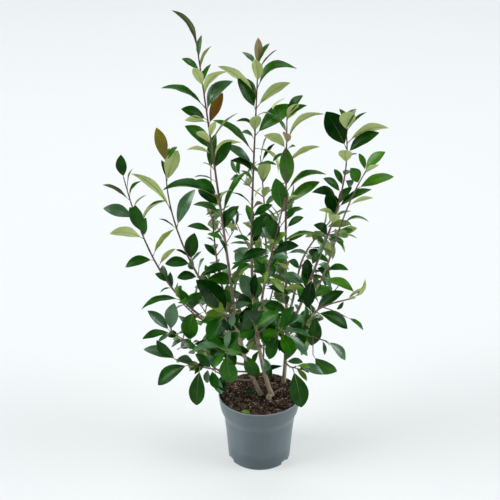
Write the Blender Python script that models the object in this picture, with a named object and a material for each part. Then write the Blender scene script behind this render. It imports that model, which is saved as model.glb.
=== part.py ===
"""A potted evergreen shrub: pot, soil, three stems, their boughs and the masses of foliage they carry.

Metres, +Z up. The origin is the centre of the pot's flat underside, and -Y is the side the shrub shows.
"""
import math

import bmesh
import bpy
import numpy as np
from mathutils.bvhtree import BVHTree

GAP = 0.0003

# Pot: a round nursery pot with a collar, and three notches in its foot
POT_HEIGHT = 0.180
RIM_RADIUS = 0.105
COLLAR_HEIGHT = 0.044
COLLAR_FOOT_RADIUS = 0.0995
BODY_TOP_RADIUS = 0.0905
BASE_RADIUS = 0.0803
POT_WALL = 0.0026
POT_FLOOR = 0.006
POT_SEGMENTS = 32
NOTCH_WIDTH = 0.024
NOTCH_HEIGHT = 0.008
NOTCH_DEPTH = 0.007
NOTCH_ANGLES = (-36, 84, 204)

# Soil: a plug that fills the pot to below its rim
SOIL_TOP = 0.175
SOIL_EDGE_DROP = 0.002
SOIL_CREST_RADIUS = 0.095

# Limbs
FOOT_HEIGHT = SOIL_TOP + GAP
STEM_SIDES = 10
BOUGH_SIDES = 6
TWIG_SIDES = 3
STEM_RINGS = 12
BOUGH_RINGS = 7
TWIG_RINGS = 7
SIDE_TWIG_RINGS = 4
FLARE = 0.25
FLARE_HEIGHT = 0.05

# Leaves: a blade with a keel, turned about its twig by the golden angle
GOLDEN_ANGLE = math.radians(137.5)
LEAF_WIDTH = 0.44
LEAF_KEEL = 0.030
LEAF_FOLD = 0.22
LEAF_WIDEST = 0.56
LEAF_ROOT_RADIUS = 0.0010
OWN_SPACE_MARGIN = 0.003
LIMB_CLEARANCE = 0.003
POT_CLEARANCE = 0.006
POT_CLEAR_HEIGHT = 0.225
LEAF_CLEARANCE = 0.0008
LEAF_SIZES = (1.0, 0.86, 0.72)
LEAF_TURNS = (0, 25, -25, 50, -50, 80, -80, 115, -115, 150, -150)

# name: foot on the soil, two handles, tip, radius at the foot and at the tip
STEMS = {
    "stem_left": ((0.005, -0.001), (-0.030, 0.000, 0.24), (-0.054, -0.002, 0.34), (-0.064, -0.016, 0.44),
                  0.0056, 0.0037),
    "stem_right": ((0.0315, -0.0065), (0.002, 0.000, 0.26), (-0.010, 0.010, 0.35), (-0.016, 0.022, 0.44),
                   0.0058, 0.0038),
    "stem_back": ((0.064, 0.058), (0.068, 0.056, 0.24), (0.070, 0.045, 0.33), (0.066, 0.028, 0.42),
                  0.0052, 0.0037),
}
STUB_FOOT = (0.0235, -0.0205)
STUB_TOP = (0.0245, -0.0190, 0.186)
STUB_RADIUS = 0.0060

# name: parent limb, place along it, tip, sweep of the curve, radius at the foot and at the tip
BOUGHS = {
    "bough_far_left": ("stem_left", 0.62, (-0.150, 0.002, 0.402), 0.02, 0.0040, 0.0031),
    "bough_left": ("stem_left", 0.76, (-0.132, 0.042, 0.452), 0.06, 0.0038, 0.0030),
    "bough_left_back": ("stem_left", 0.70, (-0.090, 0.066, 0.430), 0.08, 0.0034, 0.0028),
    "bough_low_left": ("stem_left", 0.38, (-0.116, -0.032, 0.306), 0.10, 0.0034, 0.0025),
    "bough_front": ("stem_right", 0.80, (0.004, -0.070, 0.482), 0.10, 0.0036, 0.0028),
    "bough_back": ("stem_right", 0.66, (0.012, 0.110, 0.440), 0.12, 0.0036, 0.0028),
    "bough_right": ("stem_back", 0.64, (0.122, -0.004, 0.500), 0.04, 0.0040, 0.0032),
    "bough_far_right": ("bough_right", 0.62, (0.140, -0.050, 0.510), 0.10, 0.0031, 0.0027),
    "bough_low_right": ("stem_back", 0.52, (0.132, -0.040, 0.428), 0.05, 0.0036, 0.0026),
    "bough_right_back": ("stem_back", 0.80, (0.100, 0.110, 0.470), 0.12, 0.0036, 0.0028),
}

# name: parent limb, place along it, tip of its stem, leaves, side twigs, leaf length, sideways bend
TALL_MASSES = {
    "foliage_far_left": ("bough_far_left", 1.0, (-0.322, 0.030, 0.750), 22, 0, 0.082, -0.010),
    "foliage_left": ("bough_left", 1.0, (-0.228, 0.100, 0.765), 18, 0, 0.078, -0.026),
    "foliage_top": ("stem_left", 1.0, (-0.139, -0.080, 1.098), 31, 0, 0.082, 0.000),
    "foliage_left_back": ("bough_left_back", 1.0, (-0.122, 0.150, 0.730), 14, 1, 0.076, 0.000),
    "foliage_centre": ("stem_right", 1.0, (-0.006, 0.050, 1.018), 28, 0, 0.080, 0.004),
    "foliage_centre_right": ("stem_back", 1.0, (0.060, 0.020, 0.900), 23, 0, 0.082, 0.000),
    "foliage_front": ("bough_front", 1.0, (0.050, -0.195, 0.775), 14, 1, 0.080, 0.000),
    "foliage_back": ("bough_back", 1.0, (0.002, 0.220, 0.745), 14, 1, 0.078, 0.000),
    "foliage_right": ("bough_right", 1.0, (0.192, -0.020, 0.872), 23, 0, 0.082, 0.040),
    "foliage_far_right": ("bough_far_right", 1.0, (0.232, -0.090, 0.802), 15, 1, 0.082, -0.024),
    "foliage_right_back": ("bough_right_back", 1.0, (0.196, 0.215, 0.580), 12, 1, 0.078, 0.000),
}
LOW_MASSES = {
    "foliage_low_far_left": ("bough_low_left", 1.0, (-0.215, -0.070, 0.392), 11, 1, 0.080, 0.000),
    "foliage_low_left": ("stem_left", 0.30, (-0.202, -0.090, 0.326), 9, 1, 0.080, 0.000),
    "foliage_low_inner_left": ("stem_left", 0.20, (-0.115, -0.130, 0.325), 6, 0, 0.080, 0.000),
    "foliage_low_front_left": ("stem_left", 0.52, (-0.080, -0.150, 0.385), 11, 1, 0.080, 0.000),
    "foliage_mid_front_left": ("stem_left", 0.90, (-0.092, -0.165, 0.490), 11, 1, 0.084, 0.000),
    "foliage_mid_left": ("bough_far_left", 0.60, (-0.190, -0.075, 0.480), 8, 0, 0.076, 0.000),
    "foliage_mid_front": ("stem_right", 0.62, (-0.012, -0.165, 0.450), 11, 1, 0.078, 0.000),
    "foliage_front_right": ("stem_right", 0.52, (0.048, -0.110, 0.417), 11, 1, 0.080, 0.000),
    "foliage_low_front_right": ("stem_back", 0.30, (0.085, -0.115, 0.324), 9, 1, 0.080, 0.000),
    "foliage_low_right": ("bough_low_right", 0.50, (0.156, -0.100, 0.384), 9, 1, 0.078, 0.000),
    "foliage_low_far_right": ("bough_low_right", 1.0, (0.226, -0.055, 0.475), 10, 1, 0.082, 0.000),
    "foliage_low_back_left": ("stem_left", 0.44, (-0.170, 0.140, 0.390), 9, 1, 0.078, 0.000),
    "foliage_back_left": ("stem_right", 0.46, (-0.080, 0.215, 0.400), 9, 1, 0.078, 0.000),
    "foliage_low_back": ("stem_right", 0.32, (0.020, 0.215, 0.345), 9, 1, 0.078, 0.000),
    "foliage_mid_back": ("stem_right", 0.58, (0.060, 0.220, 0.480), 9, 1, 0.076, 0.000),
    "foliage_low_back_right": ("stem_back", 0.34, (0.165, 0.165, 0.360), 9, 1, 0.078, 0.000),
    "foliage_mid_right_back": ("stem_back", 0.62, (0.205, 0.085, 0.450), 9, 1, 0.078, 0.000),
}


def unit(vector):
    """A vector, or each row of an array, at length one."""
    vector = np.asarray(vector, float)
    return vector / np.linalg.norm(vector, axis=-1, keepdims=True)


def bezier(handles, count):
    """Points of the Bezier curve over any number of handles."""
    t = np.linspace(0.0, 1.0, count)[:, None]
    level = [np.repeat(np.asarray(h, float)[None], count, axis=0) for h in handles]
    while len(level) > 1:
        level = [a * (1 - t) + b * t for a, b in zip(level, level[1:])]
    return level[0]


def swept(start, end, sweep, count):
    """A limb's curve that leaves its parent outward and then turns up by its sweep."""
    start, end = np.asarray(start, float), np.asarray(end, float)
    reach = end - start
    handle = start + reach * np.array([0.5 + sweep, 0.5 + sweep, 0.5 - sweep])
    return bezier((start, handle, end), count)


def along(path, place):
    """The point at a place from 0 to 1 along a path, and the path's direction there."""
    where = place * (len(path) - 1)
    index = min(int(where), len(path) - 2)
    step = path[index + 1] - path[index]
    return path[index] + step * (where - index), unit(step)


def frames(path, facing=None):
    """Two directions across a path at each of its points, carried along without twist."""
    tangents = unit(np.gradient(path, axis=0))
    if facing is not None:
        tangents[0] = facing
    side = unit(np.cross(tangents[0], (0.0, 1.0, 0.0) if abs(tangents[0][1]) < 0.8 else (1.0, 0.0, 0.0)))
    sides = []
    for tangent in tangents:
        side = unit(side - tangent * np.dot(side, tangent))
        sides.append(side)
    sides = np.array(sides)
    return sides, np.cross(tangents, sides)


def loft(rings, tip=None):
    """Vertices and outward faces of a closed skin over equal rings of points, ended flat or in a tip."""
    count = len(rings[0])
    vertices = [tuple(p) for ring in rings for p in ring]
    faces = [tuple(reversed(range(count)))]
    for level in range(len(rings) - 1):
        low, high = level * count, (level + 1) * count
        for k in range(count):
            n = (k + 1) % count
            faces.append((low + k, low + n, high + n, high + k))
    last = (len(rings) - 1) * count
    if tip is None:
        faces.append(tuple(last + k for k in range(count)))
    else:
        vertices.append(tuple(tip))
        faces += [(last + k, last + (k + 1) % count, len(vertices) - 1) for k in range(count)]
    return vertices, faces


def tube(path, radii, sides, facing=None):
    """A closed tapering limb of flat-sided rings along a path, its foot square to the way it faces."""
    across, over = frames(path, facing)
    turn = np.arange(sides) * 2 * math.pi / sides
    rings = [
        [p + (a * math.cos(v) + o * math.sin(v)) * r for v in turn]
        for p, a, o, r in zip(path, across, over, radii)
    ]
    return loft(rings)


def new_object(name, skin, collection=None):
    """A mesh object from vertices and faces, its faces turned outward."""
    mesh = bpy.data.meshes.new(name)
    mesh.from_pydata([tuple(float(c) for c in v) for v in skin[0]], [], skin[1])
    shape = bmesh.new()
    shape.from_mesh(mesh)
    bmesh.ops.recalc_face_normals(shape, faces=shape.faces)
    shape.to_mesh(mesh)
    shape.free()
    thing = bpy.data.objects.new(name, mesh)
    (collection or bpy.context.scene.collection).objects.link(thing)
    return thing


def remove(thing):
    """Take an object and its mesh out of the file."""
    mesh = thing.data
    bpy.data.objects.remove(thing, do_unlink=True)
    bpy.data.meshes.remove(mesh)


def apply_boolean(thing, operation, other=None, collection=None, solver="EXACT"):
    """Cut or join an object by another, or by a whole collection, and keep the result as its mesh."""
    modifier = thing.modifiers.new(operation, "BOOLEAN")
    modifier.operation = operation
    modifier.solver = solver
    if collection is None:
        modifier.object = other
    else:
        modifier.operand_type = "COLLECTION"
        modifier.collection = collection
    depsgraph = bpy.context.evaluated_depsgraph_get()
    depsgraph.update()
    result = bpy.data.meshes.new_from_object(thing.evaluated_get(depsgraph))
    old = thing.data
    thing.modifiers.clear()
    thing.data = result
    bpy.data.meshes.remove(old)


def material(name, colour, roughness):
    """One part's own plain material."""
    made = bpy.data.materials.new(name)
    made.use_nodes = True
    shader = made.node_tree.nodes["Principled BSDF"]
    shader.inputs["Base Color"].default_value = (*colour, 1.0)
    shader.inputs["Roughness"].default_value = roughness
    made.diffuse_color = (*colour, 1.0)
    return made


def finish(thing, colour, roughness, smooth):
    """Give an object its material and its shading."""
    thing.data.materials.clear()
    thing.data.materials.append(material(thing.name + "_finish", colour, roughness))
    thing.data.shade_flat()
    if smooth:
        thing.data.shade_smooth()
        thing.data.set_sharp_from_angle(angle=math.radians(40))


def lathe(profile, segments):
    """A closed solid turned about Z from (radius, height) points, with a flat floor at its first and last."""
    turn = np.arange(segments) * 2 * math.pi / segments
    rings = [[(r * math.cos(v), r * math.sin(v), z) for v in turn] for r, z in profile]
    return loft(rings)


def pot_radius(height, inside=0.0):
    """The pot's outer radius at a height, less the wall."""
    foot = POT_HEIGHT - COLLAR_HEIGHT
    if height >= foot:
        share = (height - foot) / COLLAR_HEIGHT
        return COLLAR_FOOT_RADIUS + (RIM_RADIUS - COLLAR_FOOT_RADIUS) * share - inside
    return BASE_RADIUS + (BODY_TOP_RADIUS - BASE_RADIUS) * height / foot - inside


def make_pot():
    """The hollow pot, with its collar standing out and notches cut in the edge of its foot."""
    foot = POT_HEIGHT - COLLAR_HEIGHT
    inner_foot = foot + 0.002
    profile = [
        (BASE_RADIUS - 0.0015, 0.0), (BASE_RADIUS, 0.0015), (BODY_TOP_RADIUS - 0.0006, foot - 0.007),
        (BODY_TOP_RADIUS + 0.0012, foot - 0.0055), (COLLAR_FOOT_RADIUS - 0.0006, foot - 0.0006),
        (COLLAR_FOOT_RADIUS, foot + 0.001), (RIM_RADIUS - 0.0008, POT_HEIGHT - 0.0022),
        (RIM_RADIUS, POT_HEIGHT - 0.0014), (RIM_RADIUS - 0.0005, POT_HEIGHT),
        (RIM_RADIUS - POT_WALL + 0.0004, POT_HEIGHT), (RIM_RADIUS - POT_WALL, POT_HEIGHT - 0.0008),
        (COLLAR_FOOT_RADIUS - POT_WALL, inner_foot), (BODY_TOP_RADIUS - POT_WALL, inner_foot - 0.006),
        (pot_radius(POT_FLOOR, POT_WALL), POT_FLOOR),
    ]
    pot = new_object("pot", lathe(profile, POT_SEGMENTS))
    notches = bpy.data.collections.new("notches")
    bpy.context.scene.collection.children.link(notches)
    for angle in NOTCH_ANGLES:
        out = np.array([math.cos(math.radians(angle)), math.sin(math.radians(angle)), 0.0])
        across = np.array([-out[1], out[0], 0.0])
        middle = out * (BASE_RADIUS - NOTCH_DEPTH + 0.010)
        corners = [(-1, -1), (1, -1), (1, 1), (-1, 1)]
        rings = [
            [middle + out * 0.010 * a + across * NOTCH_WIDTH / 2 * b + (0, 0, z) for a, b in corners]
            for z in (-0.004, NOTCH_HEIGHT)
        ]
        cutter = new_object("notch", loft(rings), notches)
        cutter.hide_render = True
        cutter.display_type = "WIRE"
    apply_boolean(pot, "DIFFERENCE", collection=notches)
    for cutter in list(notches.objects):
        remove(cutter)
    bpy.data.collections.remove(notches)
    finish(pot, (0.20, 0.24, 0.26), 0.45, True)


def make_soil():
    """The plug of soil, clear of the pot's floor and wall, level where the stems stand on it."""
    foot = POT_HEIGHT - COLLAR_HEIGHT + 0.002
    inside = POT_WALL + GAP
    edge = SOIL_TOP - SOIL_EDGE_DROP
    profile = [
        (pot_radius(POT_FLOOR, inside) - 0.0002, POT_FLOOR + GAP),
        (BODY_TOP_RADIUS - inside - 0.0003, foot - 0.006),
        (COLLAR_FOOT_RADIUS - inside, foot + 0.0004), (pot_radius(edge, inside), edge),
        (SOIL_CREST_RADIUS, SOIL_TOP),
    ]
    finish(new_object("soil", lathe(profile, POT_SEGMENTS)), (0.035, 0.024, 0.017), 0.9, True)


def plan_limbs():
    """The path and radii of every stem and bough, by name."""
    limbs = {}
    for name, (foot, low, high, tip, foot_radius, tip_radius) in STEMS.items():
        path = bezier(((*foot, FOOT_HEIGHT), low, high, tip), STEM_RINGS)
        radii = np.linspace(foot_radius, tip_radius, len(path))
        rise = np.clip(1 - (path[:, 2] - FOOT_HEIGHT) / FLARE_HEIGHT, 0, 1)
        limbs[name] = (path, radii * (1 + FLARE * rise ** 2))
    for name, (parent, place, tip, sweep, foot_radius, tip_radius) in BOUGHS.items():
        start, _ = along(limbs[parent][0], place)
        path = swept(start, tip, sweep, BOUGH_RINGS)
        limbs[name] = (path, np.linspace(foot_radius, tip_radius, len(path)))
    return limbs


def plan_stem(limbs, parent, place, tip, bend):
    """The path and radii of a mass's own stem, going on from its bough's tip or off a limb's side."""
    path, radii = limbs[parent]
    start, heading = along(path, place)
    tip = np.asarray(tip, float)
    if place == 1.0:
        start = start + heading * GAP
        handle = start + heading * 0.30 * np.linalg.norm(tip - start)
        own = bezier((start, handle, (handle + tip) / 2 + (bend, 0.0, 0.0), tip), TWIG_RINGS)
        foot_radius = radii[-1]
    else:
        own = swept(start, tip, 0.10, TWIG_RINGS)
        foot_radius = 0.0024
    return own, np.linspace(foot_radius, 0.0013, len(own))


class Space:
    """Tells whether points keep to a mass's own space: nearer its stem than any other, clear of the limbs."""

    def __init__(self, limbs, stems):
        self.names = list(stems)
        parts = [(stems[n][0], i) for i, n in enumerate(self.names)]
        self.starts = np.concatenate([p[:-1] for p, _ in parts])
        self.ends = np.concatenate([p[1:] for p, _ in parts])
        self.owner = np.concatenate([np.full(len(p) - 1, i) for p, i in parts])
        self.limb_starts = np.concatenate([p[:-1] for p, _ in limbs.values()])
        self.limb_ends = np.concatenate([p[1:] for p, _ in limbs.values()])
        self.limb_radii = np.concatenate([r[:-1] for _, r in limbs.values()])

    @staticmethod
    def distances(points, starts, ends):
        """Distance from each point to each straight piece."""
        span = ends - starts
        offset = points[:, None] - starts[None]
        share = np.clip((offset * span).sum(-1) / (span ** 2).sum(-1), 0, 1)
        return np.linalg.norm(offset - share[..., None] * span, axis=-1)

    def holds(self, name, points):
        """True where every point is the mass's own, and none is near a limb, the pot or the floor."""
        near = self.distances(points, self.starts, self.ends)
        own = self.owner == self.names.index(name)
        if (near[:, own].min(1) + OWN_SPACE_MARGIN > near[:, ~own].min(1)).any():
            return False
        clear = self.distances(points, self.limb_starts, self.limb_ends) - self.limb_radii
        if clear.min() < LIMB_CLEARANCE:
            return False
        low = points[points[:, 2] < POT_CLEAR_HEIGHT]
        outside = np.hypot(low[:, 0], low[:, 1]) > RIM_RADIUS + POT_CLEARANCE
        return bool(outside.all() and (points[:, 2] > 0.02).all())


def leaf_points(leaf):
    """Points of a leaf's outline and midrib away from its root, for the test of its space."""
    stations = ((0.3, 0.8), (0.5, 1.0), (0.75, 0.7))
    outline = [leaf_at(leaf, s, side * width) for s, width in stations for side in (-1, 0, 1)]
    return np.array(outline + [leaf_at(leaf, 1.0, 0.0)])


def leaf_at(leaf, s, side):
    """A point of the blade: along the midrib, which curls back, and to the side, which folds up."""
    half = leaf["length"] * LEAF_WIDTH / 2 * side
    back = leaf["curl"] * leaf["length"] * s ** 2
    return (leaf["root"] + leaf["heading"] * leaf["length"] * s - leaf["face"] * back
            + leaf["across"] * half + leaf["face"] * abs(half) * LEAF_FOLD)


def aim_leaf(root, axis, azimuth, pitch, length, curl, roll):
    """A leaf at a root on a twig: its heading about the twig's axis, and the way its upper side faces."""
    side = unit(np.cross(axis, (0.0, 1.0, 0.0) if abs(axis[1]) < 0.8 else (1.0, 0.0, 0.0)))
    over = np.cross(axis, side)
    outward = side * math.cos(azimuth) + over * math.sin(azimuth)
    heading = unit(outward * math.cos(pitch) + axis * math.sin(pitch))
    face = axis * 0.8 + np.array([0.0, 0.0, 0.35])
    face = unit(face - heading * np.dot(face, heading))
    across = np.cross(heading, face)
    turned = face * math.cos(roll) + across * math.sin(roll)
    return dict(root=root, heading=heading, face=turned, across=np.cross(heading, turned),
                length=length, curl=curl)


def leaf_tree(leaf):
    """The search tree of a leaf's skin away from its root, for the test of whether two leaves cross."""
    foot = [leaf_at(leaf, 0.12, -0.1), leaf_at(leaf, 0.12, 0.1)]
    outline = [leaf_at(leaf, LEAF_WIDEST, 1.0), leaf_at(leaf, 1.0, 0.0), leaf_at(leaf, LEAF_WIDEST, -1.0)]
    keel = leaf_at(leaf, LEAF_WIDEST, 0.0) - leaf["face"] * leaf["length"] * LEAF_KEEL
    points = [tuple(p) for p in foot + outline + [keel]]
    faces = [(0, 1, 2, 4), (2, 3, 4), (0, 4, 5), (1, 5, 2), (2, 5, 3), (3, 5, 4), (0, 5, 1)]
    return BVHTree.FromPolygons(points, faces, epsilon=LEAF_CLEARANCE)


def place_leaf(space, name, others, root, axis, azimuth, pitch, length, curl, roll):
    """The leaf as planned, or turned and then shrunk until it keeps to its space, or none."""
    for size in LEAF_SIZES:
        for turn in LEAF_TURNS:
            leaf = aim_leaf(root, axis, azimuth + math.radians(turn), pitch, length * size, curl, roll)
            if not space.holds(name, leaf_points(leaf)):
                continue
            tree = leaf_tree(leaf)
            if not any(tree.overlap(other) for other in others):
                others.append(tree)
                return leaf
    return None


def grow_twigs(space, name, stem, count, rng):
    """Side twigs that leave a mass's stem by the golden angle, where they keep to its space."""
    path, _ = stem
    twigs = []
    azimuth = rng.uniform(0, 2 * math.pi)
    for _ in range(count * 6):
        if len(twigs) == count:
            break
        root, axis = along(path, 0.30 + 0.35 * rng.random())
        azimuth += GOLDEN_ANGLE
        reach = np.linalg.norm(path[-1] - path[0]) * rng.uniform(0.25, 0.38)
        guide = aim_leaf(root, axis, azimuth, math.radians(38), min(reach, 0.085), -0.12, 0.0)
        twig = np.array([leaf_at(guide, s, 0.0) for s in np.linspace(0, 1, SIDE_TWIG_RINGS)])
        if space.holds(name, twig[1:]):
            twigs.append((twig, np.linspace(0.0015, 0.0010, len(twig))))
    return twigs


def grow_leaves(space, name, others, twig, count, length, first, tall, rng):
    """Leaves up one twig: level and long at its foot, steep and short at its tip."""
    path, _ = twig
    leaves = []
    azimuth = rng.uniform(0, 2 * math.pi)
    for k in range(count):
        share = (k + 0.5) / count
        root, axis = along(path, first + (0.985 - first) * share)
        azimuth += GOLDEN_ANGLE
        pitch = math.radians(rng.normal(12 if tall else 2, 8) + (48 if tall else 40) * share ** 1.5)
        size = length * rng.uniform(0.95, 1.14) * (1.0 - 0.25 * share ** 2)
        curl = rng.uniform(0.08, 0.24) * (1.0 if tall else 1.3)
        leaf = place_leaf(space, name, others, root, axis, azimuth, pitch, size, curl, rng.normal(0, 0.5))
        if leaf is not None:
            leaves.append(leaf)
    root, axis = along(path, 0.985)
    leaf = place_leaf(space, name, others, root, axis, azimuth, math.radians(74), length * 0.8, 0.10, 0.0)
    return leaves + [leaf] if leaf is not None else leaves


def grow_mass(space, name, stem, row, tall, seed):
    """The twigs and leaves of one mass, from its own seed."""
    _, place, _, leaves, twigs, length, _ = row
    rng = np.random.default_rng(seed)
    side_twigs = grow_twigs(space, name, stem, twigs, rng)
    first = 0.08 if place == 1.0 and tall else 0.38
    others = []
    grown = grow_leaves(space, name, others, stem, leaves, length, first, tall, rng)
    for twig in side_twigs:
        grown += grow_leaves(space, name, others, twig, 3, length * 0.85, 0.45, tall, rng)
    return side_twigs, grown


def leaf_skin(leaf):
    """The leaf as a closed blade: a small root, its keeled widest station and a tip."""
    root, across, face = leaf["root"], leaf["across"] * LEAF_ROOT_RADIUS, leaf["face"] * LEAF_ROOT_RADIUS
    foot = [root - across + face * 0.6, root - face, root + across + face * 0.6]
    keel = leaf_at(leaf, LEAF_WIDEST, 0.0) - leaf["face"] * leaf["length"] * LEAF_KEEL
    widest = [leaf_at(leaf, LEAF_WIDEST, -1.0), keel, leaf_at(leaf, LEAF_WIDEST, 1.0)]
    return loft([foot, widest], leaf_at(leaf, 1.0, 0.0))


def keep_largest(thing):
    """Drop loose scraps and sealed hollows, and keep the one outer skin."""
    shape = bmesh.new()
    shape.from_mesh(thing.data)
    seen, groups = set(), []
    for start in shape.verts:
        if start in seen:
            continue
        group, queue = [], [start]
        seen.add(start)
        while queue:
            vertex = queue.pop()
            group.append(vertex)
            for edge in vertex.link_edges:
                other = edge.other_vert(vertex)
                if other not in seen:
                    seen.add(other)
                    queue.append(other)
        groups.append(group)
    groups.sort(key=len)
    for group in groups[:-1]:
        bmesh.ops.delete(shape, geom=group, context="VERTS")
    bmesh.ops.dissolve_limit(shape, angle_limit=math.radians(0.2), verts=shape.verts, edges=shape.edges)
    shape.to_mesh(thing.data)
    shape.free()


def make_mass(name, stem, twigs, leaves, parent, facing):
    """One mass as one solid: its stem joined with its twigs and leaves, and cut clear of its limb."""
    body = new_object(name, tube(*stem, TWIG_SIDES, facing))
    sprays = bpy.data.collections.new("sprays")
    bpy.context.scene.collection.children.link(sprays)
    for k, twig in enumerate(twigs):
        new_object(f"twig_{k}", tube(*twig, TWIG_SIDES), sprays)
    for k, leaf in enumerate(leaves):
        new_object(f"leaf_{k}", leaf_skin(leaf), sprays)
    apply_boolean(body, "UNION", collection=sprays, solver="MANIFOLD")
    for spray in list(sprays.objects):
        remove(spray)
    bpy.data.collections.remove(sprays)
    if parent is not None:
        cut_clear(body, parent)
    keep_largest(body)
    finish(body, (0.035, 0.10, 0.025), 0.4, False)


def cut_clear(thing, parent):
    """Cut the foot of a limb by its parent's form, grown by the gap."""
    path, radii, sides = parent
    cutter = new_object("cutter", tube(path, radii + GAP, sides))
    apply_boolean(thing, "DIFFERENCE", other=cutter)
    remove(cutter)


def level_foot(path, radii):
    """A stem's skin with its foot cut flat and level on the soil."""
    vertices, faces = tube(path, radii, STEM_SIDES)
    for k in range(STEM_SIDES):
        x, y, _ = vertices[k]
        vertices[k] = (x, y, FOOT_HEIGHT)
    return vertices, faces


def make_limbs(limbs):
    """The stems on the soil, the boughs cut clear of their parents, and the stub of a cut stem."""
    for name, (path, radii) in limbs.items():
        if name in STEMS:
            limb = new_object(name, level_foot(path, radii))
        else:
            limb = new_object(name, tube(path, radii, BOUGH_SIDES))
            parent = BOUGHS[name][0]
            cut_clear(limb, (*limbs[parent], STEM_SIDES if parent in STEMS else BOUGH_SIDES))
            keep_largest(limb)
        finish(limb, (0.28, 0.21, 0.15), 0.75, True)
    foot = (*STUB_FOOT, FOOT_HEIGHT)
    path = bezier((foot, STUB_TOP), 4)
    stub = new_object("cut_stub", level_foot(path, STUB_RADIUS * np.array([1.25, 1.05, 1.0, 0.95])))
    finish(stub, (0.42, 0.33, 0.22), 0.75, True)


def make_foliage(limbs):
    """Every mass of foliage, on its own stem and in its own space."""
    rows = {**TALL_MASSES, **LOW_MASSES}
    stems = {name: plan_stem(limbs, *row[:3], row[-1]) for name, row in rows.items()}
    space = Space(limbs, stems)
    for seed, (name, row) in enumerate(rows.items()):
        tall = name in TALL_MASSES
        twigs, leaves = grow_mass(space, name, stems[name], row, tall, seed)
        carrier, place = row[:2]
        if place == 1.0:
            make_mass(name, stems[name], twigs, leaves, None, along(limbs[carrier][0], 1.0)[1])
        else:
            parent = (*limbs[carrier], STEM_SIDES if carrier in STEMS else BOUGH_SIDES)
            make_mass(name, stems[name], twigs, leaves, parent, None)


def main():
    """Build every node from an empty scene."""
    for thing in list(bpy.data.objects):
        bpy.data.objects.remove(thing, do_unlink=True)
    make_pot()
    make_soil()
    limbs = plan_limbs()
    make_limbs(limbs)
    make_foliage(limbs)


main()
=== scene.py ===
"""The looks of a potted photinia: glossy leaves, red shoots, tan stems, barky soil and a grey pot."""
import math

import bpy
import numpy as np
from mathutils.bvhtree import BVHTree
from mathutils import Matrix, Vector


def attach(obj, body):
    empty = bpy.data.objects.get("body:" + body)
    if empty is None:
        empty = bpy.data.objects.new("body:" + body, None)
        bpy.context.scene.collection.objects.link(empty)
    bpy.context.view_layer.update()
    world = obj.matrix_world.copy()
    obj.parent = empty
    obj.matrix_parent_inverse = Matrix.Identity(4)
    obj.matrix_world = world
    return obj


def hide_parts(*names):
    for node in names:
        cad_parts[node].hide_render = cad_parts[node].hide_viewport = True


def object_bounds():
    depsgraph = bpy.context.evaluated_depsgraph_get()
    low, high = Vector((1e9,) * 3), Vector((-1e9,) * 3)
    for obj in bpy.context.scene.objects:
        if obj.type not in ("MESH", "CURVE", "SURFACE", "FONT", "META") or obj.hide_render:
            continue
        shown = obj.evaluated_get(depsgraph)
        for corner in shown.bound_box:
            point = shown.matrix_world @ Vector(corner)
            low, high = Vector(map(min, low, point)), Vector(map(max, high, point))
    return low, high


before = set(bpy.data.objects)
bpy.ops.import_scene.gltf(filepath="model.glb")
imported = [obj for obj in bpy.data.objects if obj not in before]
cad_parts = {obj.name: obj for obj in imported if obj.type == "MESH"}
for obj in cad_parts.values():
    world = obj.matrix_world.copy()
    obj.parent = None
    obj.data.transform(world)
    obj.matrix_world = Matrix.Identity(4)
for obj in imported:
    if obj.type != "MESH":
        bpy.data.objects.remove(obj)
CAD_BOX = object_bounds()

# Pot and soil, as the solids have them
POT_HEIGHT = 0.180
RIM_RADIUS = 0.105
COLLAR_HEIGHT = 0.044
COLLAR_FOOT_RADIUS = 0.0995
BODY_TOP_RADIUS = 0.0905
BASE_RADIUS = 0.0803
SOIL_TOP = 0.175

# Limbs, as the solids have them
GAP = 0.0003
FOOT_HEIGHT = 0.1753
STEM_RINGS = 12
BOUGH_RINGS = 7
TWIG_RINGS = 7
SIDE_TWIG_RINGS = 4
FLARE = 0.25
FLARE_HEIGHT = 0.05
STEM_HANDLE = 0.30
SIDE_SWEEP = 0.10
SIDE_STEM_RADIUS = 0.0024
STEM_TIP_RADIUS = 0.0013
TWIG_RADII = (0.0015, 0.0010)

# Side twigs: tries for each, reach as a share of the stem's, the longest, pitch, and rise of their curve
TWIG_TRIES = 6
TWIG_REACH = (0.25, 0.38)
LONGEST_TWIG = 0.085
TWIG_PITCH = math.radians(38)
TWIG_RISE = 0.12

# Leaves, as the solids have them
GOLDEN_ANGLE = math.radians(137.5)
LEAF_WIDTH = 0.44
LEAF_KEEL = 0.030
LEAF_FOLD = 0.22
LEAF_WIDEST = 0.56
FACE_ALONG = 0.8
FACE_UP = (0.0, 0.0, 0.35)
OWN_SPACE_MARGIN = 0.003
LIMB_CLEARANCE = 0.003
POT_CLEARANCE = 0.006
POT_CLEAR_HEIGHT = 0.225
FLOOR_CLEARANCE = 0.02
LEAF_CLEARANCE = 0.0008
LEAF_SIZES = (1.0, 0.86, 0.72)
LEAF_TURNS = (0, 25, -25, 50, -50, 80, -80, 115, -115, 150, -150)

# Share of a leaf's length that is its stalk
PETIOLE = 0.12

# Leaves by the rule: pitch in degrees at a twig's foot, what it gains by the tip, and how slack they curl,
# on tall shoots and on others; then the spread of each, and the leaf at the tip against the rest
TALL_HABIT = (12, 48, 1.0)
LOW_HABIT = (2, 40, 1.3)
PITCH_SPREAD = 8
LENGTH_SPREAD = (0.95, 1.14)
CURL_SPREAD = (0.08, 0.24)
ROLL_SPREAD = 0.5
TIP_SHORTENING = 0.25
TIP_LEAF = dict(pitch=math.radians(74), length=0.8, curl=0.10)

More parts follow.
